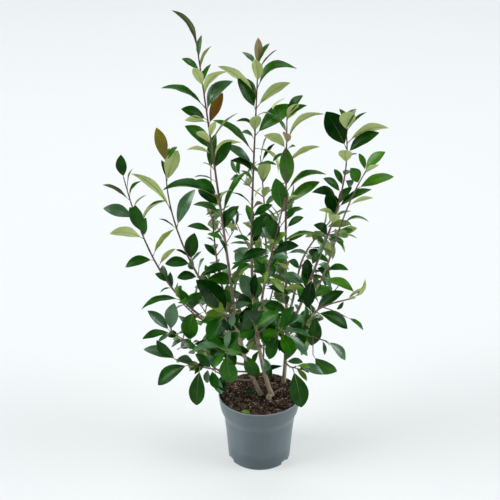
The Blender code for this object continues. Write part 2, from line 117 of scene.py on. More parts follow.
# Places along a stem, twig or limb from its foot, 0, to its tip, 1, where leaves and twigs start and end
SHOOT_TIP = 0.985
TOP_LEAVES_FROM = 0.08
SIDE_LEAVES_FROM = 0.38
TWIG_LEAVES_FROM = 0.45
TWIGS_BETWEEN = (0.20, 0.75)
LIMB_LEAVES_BETWEEN = (0.15, 0.97)
SHOWN_FOOT = (0.04, 0.36)

# Finer growth than the solids': twigs added to a mass, leaves on a twig and their size, leaves on a limb and
# the height where they start, and, on a shoot of which the photograph shows at least so many leaves one by
# one, the rule's leaves at its foot
FINER_TWIGS = 2
TWIG_LEAVES = 5
TWIG_LEAF_SIZE = 0.85
LIMB_LEAVES = 7
LIMB_LEAVES_FROM = 0.345
SHOWN_LEAVES = 9
SHOWN_FILL = 6

# How far off a leaf's root others are tested against it, how far leaves may pass the solids' box, and how
# near its line of sight they may not come before a leaf that the photograph shows
NEIGHBOUR = 0.16
REACH_MARGIN = 0.006
SHOWN_SPOT = 0.008

# Leaves read off the photograph: a leaf's full length, the least bow of one that lies level, how far its bow
# goes up besides along its limb, the fold of one that is turned towards the eye by less than so many degrees
# and of all others, the places tried for a leaf's foot along a limb, and the points of a shown twig's curve
FULL_LEAF = 0.086
LEAST_ARCH = 0.20
ARCH_UP = (0.0, 0.0, 0.5)
EDGE_TURN = 35
EDGE_FOLD = 0.80
FLAT_FOLD = 0.40
PATH_SAMPLES = 150
SHOWN_TWIG_RINGS = 10

# The photograph's eye, before the front plane: the plane through the pot's axis where places are read
EYE = (-0.0243, -1.9987, 1.400)

# name: foot on the soil, two handles, tip, radius at the foot and at the tip
STEMS = {
    "stem_left": ((0.005, -0.001), (-0.030, 0.000, 0.24), (-0.054, -0.002, 0.34), (-0.064, -0.016, 0.44),
                  0.0056, 0.0037),
    "stem_right": ((0.0315, -0.0065), (0.002, 0.000, 0.26), (-0.010, 0.010, 0.35), (-0.016, 0.022, 0.44),
                   0.0058, 0.0038),
    "stem_back": ((0.064, 0.058), (0.068, 0.056, 0.24), (0.070, 0.045, 0.33), (0.066, 0.028, 0.42),
                  0.0052, 0.0037),
}
STUB_FOOT = (0.0235, -0.0205)
STUB_TOP = (0.0245, -0.0190, 0.186)
STUB_RADIUS = 0.0060

# name: parent limb, place along it, tip, sweep of the curve, radius at the foot and at the tip
BOUGHS = {
    "bough_far_left": ("stem_left", 0.62, (-0.150, 0.002, 0.402), 0.02, 0.0040, 0.0031),
    "bough_left": ("stem_left", 0.76, (-0.132, 0.042, 0.452), 0.06, 0.0038, 0.0030),
    "bough_left_back": ("stem_left", 0.70, (-0.090, 0.066, 0.430), 0.08, 0.0034, 0.0028),
    "bough_low_left": ("stem_left", 0.38, (-0.116, -0.032, 0.306), 0.10, 0.0034, 0.0025),
    "bough_front": ("stem_right", 0.80, (0.004, -0.070, 0.482), 0.10, 0.0036, 0.0028),
    "bough_back": ("stem_right", 0.66, (0.012, 0.110, 0.440), 0.12, 0.0036, 0.0028),
    "bough_right": ("stem_back", 0.64, (0.122, -0.004, 0.500), 0.04, 0.0040, 0.0032),
    "bough_far_right": ("bough_right", 0.62, (0.140, -0.050, 0.510), 0.10, 0.0031, 0.0027),
    "bough_low_right": ("stem_back", 0.52, (0.132, -0.040, 0.428), 0.05, 0.0036, 0.0026),
    "bough_right_back": ("stem_back", 0.80, (0.100, 0.110, 0.470), 0.12, 0.0036, 0.0028),
}

# name: parent limb, place along it, tip of its stem, leaves, side twigs, leaf length, sideways bend
TALL_MASSES = {
    "foliage_far_left": ("bough_far_left", 1.0, (-0.322, 0.030, 0.750), 22, 0, 0.082, -0.010),
    "foliage_left": ("bough_left", 1.0, (-0.228, 0.100, 0.765), 18, 0, 0.078, -0.026),
    "foliage_top": ("stem_left", 1.0, (-0.139, -0.080, 1.098), 31, 0, 0.082, 0.000),
    "foliage_left_back": ("bough_left_back", 1.0, (-0.122, 0.150, 0.730), 14, 1, 0.076, 0.000),
    "foliage_centre": ("stem_right", 1.0, (-0.006, 0.050, 1.018), 28, 0, 0.080, 0.004),
    "foliage_centre_right": ("stem_back", 1.0, (0.060, 0.020, 0.900), 23, 0, 0.082, 0.000),
    "foliage_front": ("bough_front", 1.0, (0.050, -0.195, 0.775), 14, 1, 0.080, 0.000),
    "foliage_back": ("bough_back", 1.0, (0.002, 0.220, 0.745), 14, 1, 0.078, 0.000),
    "foliage_right": ("bough_right", 1.0, (0.192, -0.020, 0.872), 23, 0, 0.082, 0.040),
    "foliage_far_right": ("bough_far_right", 1.0, (0.232, -0.090, 0.802), 15, 1, 0.082, -0.024),
    "foliage_right_back": ("bough_right_back", 1.0, (0.196, 0.215, 0.580), 12, 1, 0.078, 0.000),
}
LOW_MASSES = {
    "foliage_low_far_left": ("bough_low_left", 1.0, (-0.215, -0.070, 0.392), 11, 1, 0.080, 0.000),
    "foliage_low_left": ("stem_left", 0.30, (-0.202, -0.090, 0.326), 9, 1, 0.080, 0.000),
    "foliage_low_inner_left": ("stem_left", 0.20, (-0.115, -0.130, 0.325), 6, 0, 0.080, 0.000),
    "foliage_low_front_left": ("stem_left", 0.52, (-0.080, -0.150, 0.385), 11, 1, 0.080, 0.000),
    "foliage_mid_front_left": ("stem_left", 0.90, (-0.092, -0.165, 0.490), 11, 1, 0.084, 0.000),
    "foliage_mid_left": ("bough_far_left", 0.60, (-0.190, -0.075, 0.480), 8, 0, 0.076, 0.000),
    "foliage_mid_front": ("stem_right", 0.62, (-0.012, -0.165, 0.450), 11, 1, 0.078, 0.000),
    "foliage_front_right": ("stem_right", 0.52, (0.048, -0.110, 0.417), 11, 1, 0.080, 0.000),
    "foliage_low_front_right": ("stem_back", 0.30, (0.085, -0.115, 0.324), 9, 1, 0.080, 0.000),
    "foliage_low_right": ("bough_low_right", 0.50, (0.156, -0.100, 0.384), 9, 1, 0.078, 0.000),
    "foliage_low_far_right": ("bough_low_right", 1.0, (0.226, -0.055, 0.475), 10, 1, 0.082, 0.000),
    "foliage_low_back_left": ("stem_left", 0.44, (-0.170, 0.140, 0.390), 9, 1, 0.078, 0.000),
    "foliage_back_left": ("stem_right", 0.46, (-0.080, 0.215, 0.400), 9, 1, 0.078, 0.000),
    "foliage_low_back": ("stem_right", 0.32, (0.020, 0.215, 0.345), 9, 1, 0.078, 0.000),
    "foliage_mid_back": ("stem_right", 0.58, (0.060, 0.220, 0.480), 9, 1, 0.076, 0.000),
    "foliage_low_back_right": ("stem_back", 0.34, (0.165, 0.165, 0.360), 9, 1, 0.078, 0.000),
    "foliage_mid_right_back": ("stem_back", 0.62, (0.205, 0.085, 0.450), 9, 1, 0.078, 0.000),
}

# name: limb that carries the twig, place along it, tip as read in the front plane, and the tip's depth
SIDE_TWIGS = {
    "twig_right": ("foliage_far_right", 0.02, (0.127, 0.507), -0.070),
    "twig_low_right": ("foliage_low_right", 0.45, (0.134, 0.290), -0.080),
    "twig_far_right": ("foliage_low_far_right", 0.30, (0.214, 0.396), -0.050),
}

# Height in the front plane, and how far left and right the photograph shows the crown closed there
CLOSED_CROWN = (
    (0.235, -0.190, 0.130),
    (0.300, -0.240, 0.130),
    (0.360, -0.230, 0.150),
    (0.420, -0.235, 0.170),
    (0.500, -0.200, 0.180),
    (0.560, -0.170, 0.130),
    (0.600, -0.150, 0.060),
    (0.660, -0.130, 0.020),
    (0.720, -0.120, -0.020),
)
# left, right and top of the gap at the crown's foot through which the stems show
OPEN_FOOT = (-0.050, 0.045, 0.290)
BACK_SHOOTS = ("foliage_back", "foliage_right_back")

# Gaps where the photograph shows the sky through the crown: middle in the front plane, and radius
SKY_GAPS = (
    (-.043, .702, .015),
    (-.076, .702, .012),
    (-.001, .724, .010),
    (-.039, .633, .014),
    (-.090, .612, .009),
    (-.087, .560, .009),
    (.051, .643, .010),
    (.112, .642, .022),
    (.143, .667, .012),
    (.116, .589, .016),
    (.086, .550, .016),
    (.081, .517, .011),
    (.162, .630, .010),
    (.081, .447, .013),
    (.137, .436, .011),
    (.095, .423, .012),
    (.160, .414, .010),
    (.021, .463, .009),
    (-.147, .417, .012),
    (-.174, .477, .012),
    (-.186, .416, .012),
    (-.146, .364, .011),
)

# Leaves that stand out in the photograph, by the limb that carries them: foot x and z and tip x and z, read
# in the front plane; the share of the leaf's hidden length that comes towards the eye, below zero where it
# leans away; the turn of its upper side towards the eye in degrees, below zero where the underside shows;
# the bow of its midrib in the picture plane, the other way below zero; finish; width against a common leaf
KEY_LEAVES = {
    "foliage_top": [
        (-.058, .518, -.034, .549, -.3, 50, .2, "dark", .7),
        (-.144, 1.05, -.19, 1.137, .2, 25, .38, "pink", .85),
        (-.137, 1.03, -.131, 1.083, -.3, 60, .15, "green", .6),
        (-.132, 1.005, -.109, 1.061, .2, -40, .4, "olive", .5),
        (-.134, 1.003, -.173, 1.032, .2, 50, .15, "green", .9),
        (-.129, .965, -.15, 1.012, .3, -75, .2, "fresh", 1),
        (-.128, .968, -.127, 1.008, -.4, 60, .2, "dark", .7),
        (-.128, .972, -.112, 1.019, .2, 55, .3, "green", .6),
        (-.123, .94, -.074, 1.005, .1, -40, .85, "fresh", .85),
        (-.12, .905, -.065, .983, .1, 50, .6, "sage_sheen", .95),
        (-.108, .88, -.086, .955, .1, 80, .05, "rust", .72),
        (-.124, .92, -.221, .97, 0, 24, .42, "green", .85),
        (-.122, .893, -.178, .92, .2, 60, .22, "dark", 1.15),
        (-.121, .886, -.172, .895, .3, -45, .15, "fresh", 1),
        (-.117, .818, -.17, .881, .1, 55, .3, "green", 1.15),
        (-.118, .835, -.146, .868, .4, -60, .2, "fresh", .9),
        (-.118, .815, -.169, .826, .2, -30, .15, "fresh", .8),
        (-.112, .775, -.133, .794, .3, -10, .3, "olive", .5),
        (-.108, .745, -.154, .76, .2, 10, .4, "olive", .45),
        (-.105, .792, -.044, .843, 0, -38, .95, "fresh", .85),
        (-.106, .772, -.068, .845, .1, 72, .25, "dark", 1.1),
        (-.105, .84, -.053, .913, .2, -10, .25, "olive", .4),
        (-.107, .85, -.103, .892, .4, -70, .1, "fresh", .7),
        (-.108, .705, -.228, .731, 0, 28, .45, "dark", .8),
        (-.11, .71, -.152, .752, -.4, 65, .25, "dark", 1.1),
        (-.105, .683, -.145, .729, -.4, 62, .15, "dark", 1.2),
        (-.104, .665, -.157, .693, -.3, 40, .4, "green", .9),
        (-.098, .7, -.068, .729, .3, -20, .3, "fresh", .6),
        (-.097, .69, -.091, .723, -.5, 60, .1, "dark", .7),
        (-.093, .66, -.036, .774, 0, 25, .12, "green", .6),
        (-.083, .62, -.06, .679, .2, 60, .45, "dark", 1.3),
        (-.08, .56, -.094, .6, .2, 30, .1, "dark", .7),
        (-.098, .6, -.126, .619, -.4, 50, .2, "green", .9),
    ],
    "foliage_left_back": [
        (-.098, .77, -.104, .862, .2, 60, .1, "dark", .7),
        (-.108, .62, -.172, .638, .1, 50, .3, "dark", .8),
        (-.106, .595, -.128, .609, -.3, 40, .2, "dark", .6),
        (-.108, .555, -.133, .592, -.3, 70, .15, "dark", 1),
        (-.092, .51, -.146, .507, .1, 40, .8, "dark", 1),
        (-.09, .49, -.099, .523, -.4, 60, .1, "dark", 1.1),
    ],
    "foliage_centre": [
        (-.022, .586, -.063, .548, -.3, 60, .1, "sage_sheen", 1.3),
        (-.024, .59, -.072, .594, -.3, 40, .1, "sage_sheen", .5),
        (-.027, .542, -.058, .522, .1, 50, .15, "dark", .9),
        (-.024, .534, -.053, .509, -.2, 40, .15, "lime", .7),
        (-.008, 1.012, -.006, 1.078, .2, -84, .05, "tan", .74),
        (-.006, 1.018, .017, 1.065, .2, 40, .2, "green", .7),
        (-.008, 1.012, -.041, 1.047, -.3, 45, .25, "sage_sheen", .8),
        (-.006, 1.004, .034, 1.053, .1, 20, .15, "olive", .4),
        (-.01, .975, -.014, 1.032, .5, -76, .2, "fresh", 1),
        (-.008, .962, .078, 1.012, 0, 30, .85, "green", .95),
        (-.008, .918, .064, .981, .1, -45, .26, "fresh", .8),
        (-.014, .95, -.093, 1.018, 0, -35, .2, "fresh", .8),
        (-.014, .915, -.05, .988, .1, 62, .12, "dark", 1),
        (-.013, .935, -.034, .99, -.3, 45, .2, "green", 1),
        (-.013, .94, -.021, .972, -.4, 70, .05, "rust", .7),
        (-.01, .9, .029, .905, .3, 10, .6, "sage_sheen", .6),
        (-.01, .855, .074, .929, .1, 60, .2, "green", .95),
        (-.011, .862, -.007, .906, .5, -78, .15, "fresh", 1.1),
        (-.012, .862, -.054, .892, .3, 20, .8, "dark", .8),
        (-.012, .848, -.042, .866, .5, 30, .3, "sage_sheen", .8),
        (-.014, .815, -.105, .896, 0, 32, .2, "green", .7),
        (-.014, .788, -.08, .836, 0, 45, .15, "sage_sheen", .9),
        (-.015, .757, -.068, .799, .2, 38, .9, "deep", 1.1),
        (-.015, .75, -.045, .776, -.4, 40, .2, "green", .9),
        (-.016, .686, -.067, .722, .1, 20, .35, "dark", .5),
        (-.01, .826, .043, .772, .1, -5, .8, "fresh", .8),
        (-.01, .785, .036, .79, .4, 25, .2, "green", .8),
        (-.014, .675, .005, .694, .4, 20, .3, "olive", .9),
        (-.015, .655, .028, .692, -.3, 62, .2, "dark", 1),
        (-.018, .625, -.042, .648, .4, -50, .2, "lime", .7),
        (-.018, .595, -.063, .611, -.3, 50, .3, "dark", .8),
        (-.017, .6, .012, .665, .2, 65, .1, "dark", 1.1),
        (-.018, .555, -.065, .574, -.3, 50, .3, "sage_sheen", 1.2),
    ],
    "foliage_back": [
        (.007, .745, .015, .8, .3, -75, .15, "fresh", 1.3),
        (.008, .735, -.013, .709, .3, -30, .3, "fresh", .6),
        (.009, .705, .017, .737, .4, -70, .1, "fresh", 1),
    ],
    "foliage_centre_right": [
        (.061, .893, .083, .932, .2, -62, .05, "fresh", 1.2),
        (.061, .898, .092, .95, .2, 50, .35, "dark", .9),
        (.06, .903, .058, .944, .1, 8, -3, "fresh", 1.2),
        (.061, .893, .102, .928, .2, 40, .5, "green", .9),
        (.057, .862, .037, .899, -.3, 45, .2, "sage_sheen", .7),
        (.055, .822, .008, .86, .2, -48, .4, "fresh", 1.2),
        (.06, .845, .144, .91, 0, -28, .62, "fresh", .75),
        (.056, .838, .056, .868, .6, -60, .1, "tan", .8),
        (.058, .822, .078, .833, .4, 20, .2, "green", .7),
        (.056, .818, .028, .797, .3, 35, .2, "dark", .8),
        (.06, .79, .134, .834, 0, -35, .35, "fresh", .75),
        (.058, .728, .058, .828, .1, 87, .06, "bright", .95),
        (.06, .722, .151, .768, 0, 26, .55, "green", .8),
        (.061, .684, .136, .748, .1, 68, .25, "bright", .75),
        (.061, .7, .089, .714, .4, -40, .2, "fresh", .6),
        (.061, .655, .101, .682, -.3, 40, .55, "dark", 1.2),
        (.06, .63, .101, .66, .1, 55, .25, "green", 1),
        (.06, .592, .107, .62, .1, 55, .25, "green", .95),
        (.058, .563, .117, .565, .1, 35, .5, "sage_sheen", .8),
        (.059, .545, .096, .53, -.3, 60, .35, "dark", 1.1),
    ],
    "foliage_front": [
        (.005, .53, .012, .489, .1, 60, .1, "lime", .9),
        (.047, .672, .036, .754, .1, 87, .08, "green", 1.15),
        (.037, .595, .03, .652, .3, 70, .1, "dark", 1.1),
        (.033, .6, .006, .632, .3, 60, .2, "sage_sheen", 1.2),
        (.037, .59, .06, .619, .3, 50, .2, "lime", 1.1),
        (.033, .563, .091, .588, .2, 66, .4, "deep", 1),
        (.033, .56, .067, .556, .4, 60, .2, "sage_sheen", 1.1),
        (.03, .575, -.045, .552, .1, 60, .25, "deep", .95),
        (.029, .545, .03, .508, .4, 60, .2, "dark", 1.2),
        (.022, .505, .06, .463, .2, 60, .3, "lime", .9),
        (.024, .52, -.015, .52, .4, 60, .2, "dark", 1.2),
    ],
    "foliage_left": [
        (-.225, .788, -.236, .875, .1, 84, .08, "gold", .82),
        (-.22, .795, -.209, .829, -.3, 60, .1, "rust", .7),
        (-.218, .795, -.192, .831, .2, 45, .2, "green", .9),
        (-.217, .745, -.19, .824, .1, -80, .12, "fresh", 1.15),
        (-.217, .752, -.227, .8, -.3, 50, .1, "dark", .9),
        (-.214, .75, -.196, .779, -.3, 50, .1, "green", .9),
        (-.207, .675, -.297, .771, 0, -40, .35, "fresh", .6),
        (-.198, .629, -.239, .657, .1, 25, .2, "dark", .45),
        (-.198, .632, -.155, .728, 0, 58, .18, "sage_sheen", .8),
        (-.175, .555, -.201, .577, .2, 40, .3, "dark", .6),
        (-.163, .547, -.157, .618, .1, 76, .1, "dark", 1.25),
        (-.162, .545, -.142, .572, .2, 50, .1, "sage_sheen", .5),
        (-.165, .536, -.229, .541, .1, 60, .28, "dark", 1.15),
        (-.156, .5, -.201, .504, .1, 60, .28, "dark", 1.25),
        (-.15, .503, -.075, .534, .1, 50, .35, "dark", 1),
        (-.15, .497, -.104, .522, -.1, 45, .35, "lime", .8),
        (-.147, .49, -.061, .492, .2, 55, .35, "green", 1.2),
    ],
    "foliage_far_left": [
        (-.166, .412, -.177, .333, .2, 80, .15, "green", 1.4),
        (-.19, .443, -.293, .421, 0, 45, .5, "dark", .55),
        (-.32, .752, -.321, .811, .1, 78, .12, "dark", 1.1),
        (-.315, .725, -.297, .78, .2, 10, .2, "olive", .4),
        (-.312, .698, -.366, .742, 0, 30, .12, "olive", .7),
        (-.31, .705, -.279, .749, .1, 35, .6, "green", .6),
        (-.303, .68, -.266, .716, .1, -25, .25, "fresh", .5),
        (-.301, .65, -.368, .684, 0, 55, .12, "sage_sheen", 1.1),
        (-.298, .635, -.306, .685, -.3, 70, .1, "dark", 1.3),
        (-.29, .612, -.295, .688, .1, 66, .12, "dark", 1.3),
        (-.288, .603, -.271, .657, .2, 55, .12, "dark", 1),
        (-.288, .625, -.222, .703, 0, 5, .6, "fresh", .75),
        (-.284, .598, -.357, .62, 0, -42, .4, "fresh", 1.1),
        (-.258, .545, -.326, .532, 0, 66, .4, "dark", 1),
        (-.259, .557, -.206, .632, 0, -35, .2, "lime", .65),
        (-.24, .535, -.203, .582, .2, -50, .2, "fresh", .6),
        (-.222, .49, -.253, .514, .2, 55, .2, "dark", 1.1),
        (-.216, .49, -.236, .536, -.3, 65, .2, "sage_sheen", 1.15),
        (-.206, .478, -.218, .518, -.2, 60, .15, "sage_sheen", 1.1),
        (-.212, .475, -.244, .464, .1, 35, .5, "dark", .6),
    ],
    "foliage_right": [
        (.152, .601, .139, .565, .2, 55, .1, "sage_sheen", .8),
        (.15, .583, .125, .54, .1, 60, .1, "dark", 1),
        (.145, .525, .171, .505, -.3, 60, .25, "dark", 1.2),
        (.145, .535, .173, .523, -.3, 50, .3, "sage_sheen", 1),
        (.136, .505, .143, .467, -.4, 60, .05, "dark", 1),
        (.187, .825, .148, .912, .1, 82, .1, "deep", 1.3),
        (.198, .867, .2, .915, .3, -80, .1, "fresh", 1.6),
        (.197, .872, .178, .92, -.3, 45, .4, "green", 1),
        (.199, .872, .213, .919, .2, 55, .4, "sage_sheen", 1.1),
        (.2, .868, .237, .913, .1, 25, .15, "green", .5),
        (.196, .838, .289, .878, 0, -42, .5, "fresh", .75),
        (.193, .812, .268, .866, .1, 55, .3, "dark", .95),
        (.193, .805, .221, .815, .3, 25, .2, "olive", .5),
        (.19, .792, .189, .826, .6, -80, .1, "fresh", 1.2),
        (.187, .735, .171, .779, -.4, 60, .12, "dark", 1),
        (.188, .758, .206, .777, -.5, 60, .2, "dark", 1),
        (.187, .75, .208, .727, -.4, 60, .6, "dark", 1.2),
        (.182, .72, .147, .756, .2, 50, .25, "dark", 1),
        (.18, .69, .122, .723, .1, 45, .9, "deep", 1.1),
        (.18, .66, .157, .722, -.3, 76, .12, "deep", 1.5),
        (.176, .665, .137, .68, .3, -40, .2, "fresh", .9),
        (.182, .685, .212, .735, -.3, 60, .3, "dark", 1),
        (.185, .68, .257, .731, .1, 38, .25, "dark", .85),
        (.18, .64, .183, .668, .5, -70, .1, "fresh", 1),
        (.16, .61, .055, .6, 0, 14, .4, "green", .65),
        (.158, .605, .128, .64, .2, 50, .8, "deep", 1.2),
        (.155, .585, .133, .613, -.4, 60, .2, "dark", 1.1),
        (.15, .548, .119, .579, -.4, 70, .12, "deep", 1.6),
        (.163, .595, .199, .598, -.3, 40, .4, "dark", .8),
    ],
    "foliage_far_right": [
        (.172, .515, .213, .525, .1, 50, .5, "dark", 1),
        (.145, .495, .23, .469, 0, 42, .4, "bright", 1),
        (.238, .775, .226, .816, -.3, 70, .12, "green", .9),
        (.24, .765, .284, .82, .1, 48, .3, "bright", 1.2),
        (.24, .765, .273, .79, .3, -40, .2, "fresh", .9),
        (.231, .74, .209, .779, .3, 70, .2, "green", 1.35),
        (.228, .726, .308, .762, 0, 50, .16, "bright", 1),
        (.216, .685, .264, .709, .1, -45, .25, "fresh", .7),
        (.2, .637, .257, .65, 0, 12, .7, "dark", .95),
    ],
    "foliage_mid_front_left": [
        (-.078, .415, -.153, .497, .2, 70, .2, "deep", 1.2),
        (-.08, .408, -.141, .456, -.9, 60, .2, "lime", 1.1),
        (-.08, .404, -.136, .408, -.5, 60, .2, "lime", 1),
        (-.086, .405, -.129, .335, .3, 75, .15, "dark", 1.5),
    ],
    "foliage_low_front_left": [
        (-.084, .312, -.173, .3, 0, 42, .6, "sage_sheen", .9),
        (-.084, .315, -.075, .357, .4, 60, .1, "sage_sheen", .7),
        (-.082, .315, -.055, .352, .4, 62, .12, "dark", 1.2),
        (-.079, .302, -.071, .207, .2, 80, .15, "green", 1.3),
        (-.084, .3, -.116, .255, .4, 62, .12, "green", 1),
        (-.03, .297, -.002, .226, .2, 80, .15, "green", 1.2),
    ],
    "foliage_low_far_left": [
        (-.222, .355, -.275, .414, .1, 75, .12, "sage_sheen", .9),
        (-.221, .355, -.211, .433, .1, 76, .12, "sage_sheen", 1.15),
        (-.203, .372, -.254, .328, .2, 60, .2, "sage_sheen", .8),
        (-.225, .338, -.294, .338, 0, 50, .3, "dark", .9),
    ],
    "foliage_low_left": [
        (-.206, .283, -.258, .33, .1, 60, .1, "dark", .95),
        (-.206, .28, -.29, .308, 0, 60, .25, "sage_sheen", .95),
        (-.155, .287, -.206, .279, .3, 50, .45, "sage_sheen", 1),
        (-.175, .264, -.262, .204, 0, 65, .25, "dark", 1),
        (-.15, .258, -.178, .245, .3, 50, .2, "sage_sheen", .7),
        (-.152, .25, -.163, .139, 0, 85, .06, "dark", 1),
        (-.125, .275, -.134, .208, .2, 65, .15, "sage_sheen", 1.25),
    ],
    "foliage_low_inner_left": [
        (-.112, .262, -.109, .19, .3, 75, .12, "dark", 1.2),
        (-.103, .258, -.097, .174, .2, 70, .12, "sage_sheen", .95),
        (-.085, .258, -.091, .185, .5, 75, .12, "deep", 1.5),
    ],
    "stem_right": [
        (-.006, .44, -.012, .512, .1, 70, .06, "deep", .8),
        (-.008, .437, -.044, .51, .1, 75, .15, "sage_sheen", 1.4),
        (-.012, .435, -.074, .418, .1, 55, .25, "sage_sheen", 1),
        (0, .39, -.034, .406, .3, 70, .15, "deep", 1.5),
        (-.013, .375, -.031, .332, .4, 75, .12, "dark", 1.5),
        (.003, .29, .023, .235, .2, 60, .2, "sage_sheen", 1.2),
        (-.003, .305, -.018, .262, .3, 50, .2, "green", 1.1),
        (.006, .268, .03, .225, .2, 60, .2, "deep", 1.2),
    ],
    "stem_back": [
        (.049, .412, .012, .429, .3, 70, .15, "green", 1.3),
        (.04, .432, .071, .452, .3, 50, .15, "dark", 1),
        (.064, .262, .004, .24, 0, 30, -.1, "deep", 1),
    ],
    "foliage_mid_front": [
        (-.012, .375, -.049, .342, .6, 75, .12, "dark", 1.4),
        (-.01, .378, -.034, .409, 1, 80, .1, "deep", 1.4),
        (-.008, .42, .047, .408, .2, 65, .2, "green", 1.2),
    ],
    "foliage_front_right": [
        (.048, .355, .022, .277, .2, 76, .12, "dark", 1.15),
        (.047, .36, .007, .342, .3, 60, .3, "green", 1.2),
        (.052, .355, .081, .292, .6, 80, .12, "green", 1.45),
        (.054, .352, .124, .289, 0, 45, .12, "sage_sheen", .95),
        (.04, .361, .005, .332, .3, 65, .15, "green", 1.1),
        (.05, .372, .082, .425, .1, 70, .15, "dark", 1.1),
        (.055, .37, .106, .402, .2, 60, .3, "sage_sheen", .8),
        (.055, .365, .128, .344, .1, 40, .3, "sage_sheen", .7),
    ],
    "foliage_low_front_right": [
        (.098, .251, .163, .236, .1, 58, .28, "sage_sheen", 1.05),
        (.087, .273, .127, .255, .2, 60, .25, "lime", .9),
        (.092, .252, .121, .216, .4, 60, .15, "lime", .8),
        (.083, .253, .11, .133, 0, 85, .06, "dark", 1),
        (.085, .322, .109, .27, .2, 60, .2, "sage_sheen", 1.1),
    ],
    "foliage_low_right": [
        (.16, .345, .163, .293, .1, 35, .1, "dark", .5),
        (.16, .345, .177, .317, .1, 35, .1, "dark", .5),
        (.172, .316, .218, .276, .1, 60, .25, "sage_sheen", .95),
        (.153, .324, .164, .29, .2, 60, .2, "sage_sheen", .8),
    ],
    "twig_right": [
        (.127, .505, .115, .422, .1, 85, .06, "deep", 1.1),
    ],
    "twig_low_right": [
        (.13, .284, .196, .24, .1, 62, .35, "green", 1.3),
    ],
    "twig_far_right": [
        (.215, .394, .259, .361, 0, 38, .25, "green", .85),
    ],
    "foliage_low_far_right": [
        (.135, .395, .22, .366, 0, 60, .35, "dark", 1),
        (.155, .385, .131, .314, .2, 75, .12, "dark", 1.1),
        (.219, .483, .257, .501, .1, -32, .3, "fresh", .9),
        (.21, .459, .259, .475, .1, -35, .25, "fresh", .7),
        (.213, .459, .237, .452, .2, -40, .2, "fresh", .9),
        (.13, .41, .203, .468, .1, 60, .25, "dark", .95),
        (.203, .455, .19, .417, .2, 60, .15, "dark", 1),
    ],
    "bough_right": [
        (.09, .412, .086, .43, .3, 40, .3, "sage_sheen", .8),
        (.105, .475, .06, .475, .2, -45, .25, "lime", .9),
        (.1, .487, .05, .51, .2, 50, .35, "sage_sheen", 1),
    ],
}


# The growth rule of the solids

def unit(vector):
    """A vector, or each row of an array, at length one."""
    vector = np.asarray(vector, float)
    return vector / np.linalg.norm(vector, axis=-1, keepdims=True)


def sideways(axis):
    """A direction across an axis."""
    return unit(np.cross(axis, (0.0, 1.0, 0.0) if abs(axis[1]) < 0.8 else (1.0, 0.0, 0.0)))


def bezier(handles, count):
    """Points of the Bezier curve over any number of handles."""
    t = np.linspace(0.0, 1.0, count)[:, None]
    level = [np.repeat(np.asarray(h, float)[None], count, axis=0) for h in handles]
    while len(level) > 1:
        level = [a * (1 - t) + b * t for a, b in zip(level, level[1:])]
    return level[0]


def swept(start, end, sweep, count):
    """A limb's curve that leaves its parent outward and then turns up by its sweep."""
    start, end = np.asarray(start, float), np.asarray(end, float)
    reach = end - start
    handle = start + reach * np.array([0.5 + sweep, 0.5 + sweep, 0.5 - sweep])
    return bezier((start, handle, end), count)


def along(path, place):
    """The point at a place from 0 to 1 along a path, and the path's direction there."""
    where = place * (len(path) - 1)
    index = min(int(where), len(path) - 2)
    step = path[index + 1] - path[index]
    return path[index] + step * (where - index), unit(step)


def plan_limbs(fine):
    """The path and radii of every stem and bough, with each ring of the solids cut into several."""
    limbs = {}
    coarse = {}
    for name, (foot, low, high, tip, foot_radius, tip_radius) in STEMS.items():
        handles = ((*foot, FOOT_HEIGHT), low, high, tip)
        path = bezier(handles, (STEM_RINGS - 1) * fine + 1)
        radii = np.linspace(foot_radius, tip_radius, len(path))
        rise = np.clip(1 - (path[:, 2] - FOOT_HEIGHT) / FLARE_HEIGHT, 0, 1)
        limbs[name] = (path, radii * (1 + FLARE * rise ** 2))
        coarse[name] = bezier(handles, STEM_RINGS)
    for name, (parent, place, tip, sweep, foot_radius, tip_radius) in BOUGHS.items():
        start, _ = along(coarse[parent], place)
        path = swept(start, tip, sweep, (BOUGH_RINGS - 1) * fine + 1)
        limbs[name] = (path, np.linspace(foot_radius, tip_radius, len(path)))
        coarse[name] = swept(start, tip, sweep, BOUGH_RINGS)
    return limbs


def plan_stem(limbs, row, fine):
    """The path and radii of a mass's own stem, going on from its bough's tip or off a limb's side."""
    parent, place, tip, *_, bend = row
    path, radii = limbs[parent]
    start, heading = along(path, place)
    tip = np.asarray(tip, float)
    count = (TWIG_RINGS - 1) * fine + 1
    if place == 1.0:
        start = start + heading * GAP
        handle = start + heading * STEM_HANDLE * np.linalg.norm(tip - start)
        own = bezier((start, handle, (handle + tip) / 2 + (bend, 0.0, 0.0), tip), count)
        foot_radius = radii[-1]
    else:
        own = swept(start, tip, SIDE_SWEEP, count)
        foot_radius = SIDE_STEM_RADIUS
    return own, np.linspace(foot_radius, STEM_TIP_RADIUS, count)


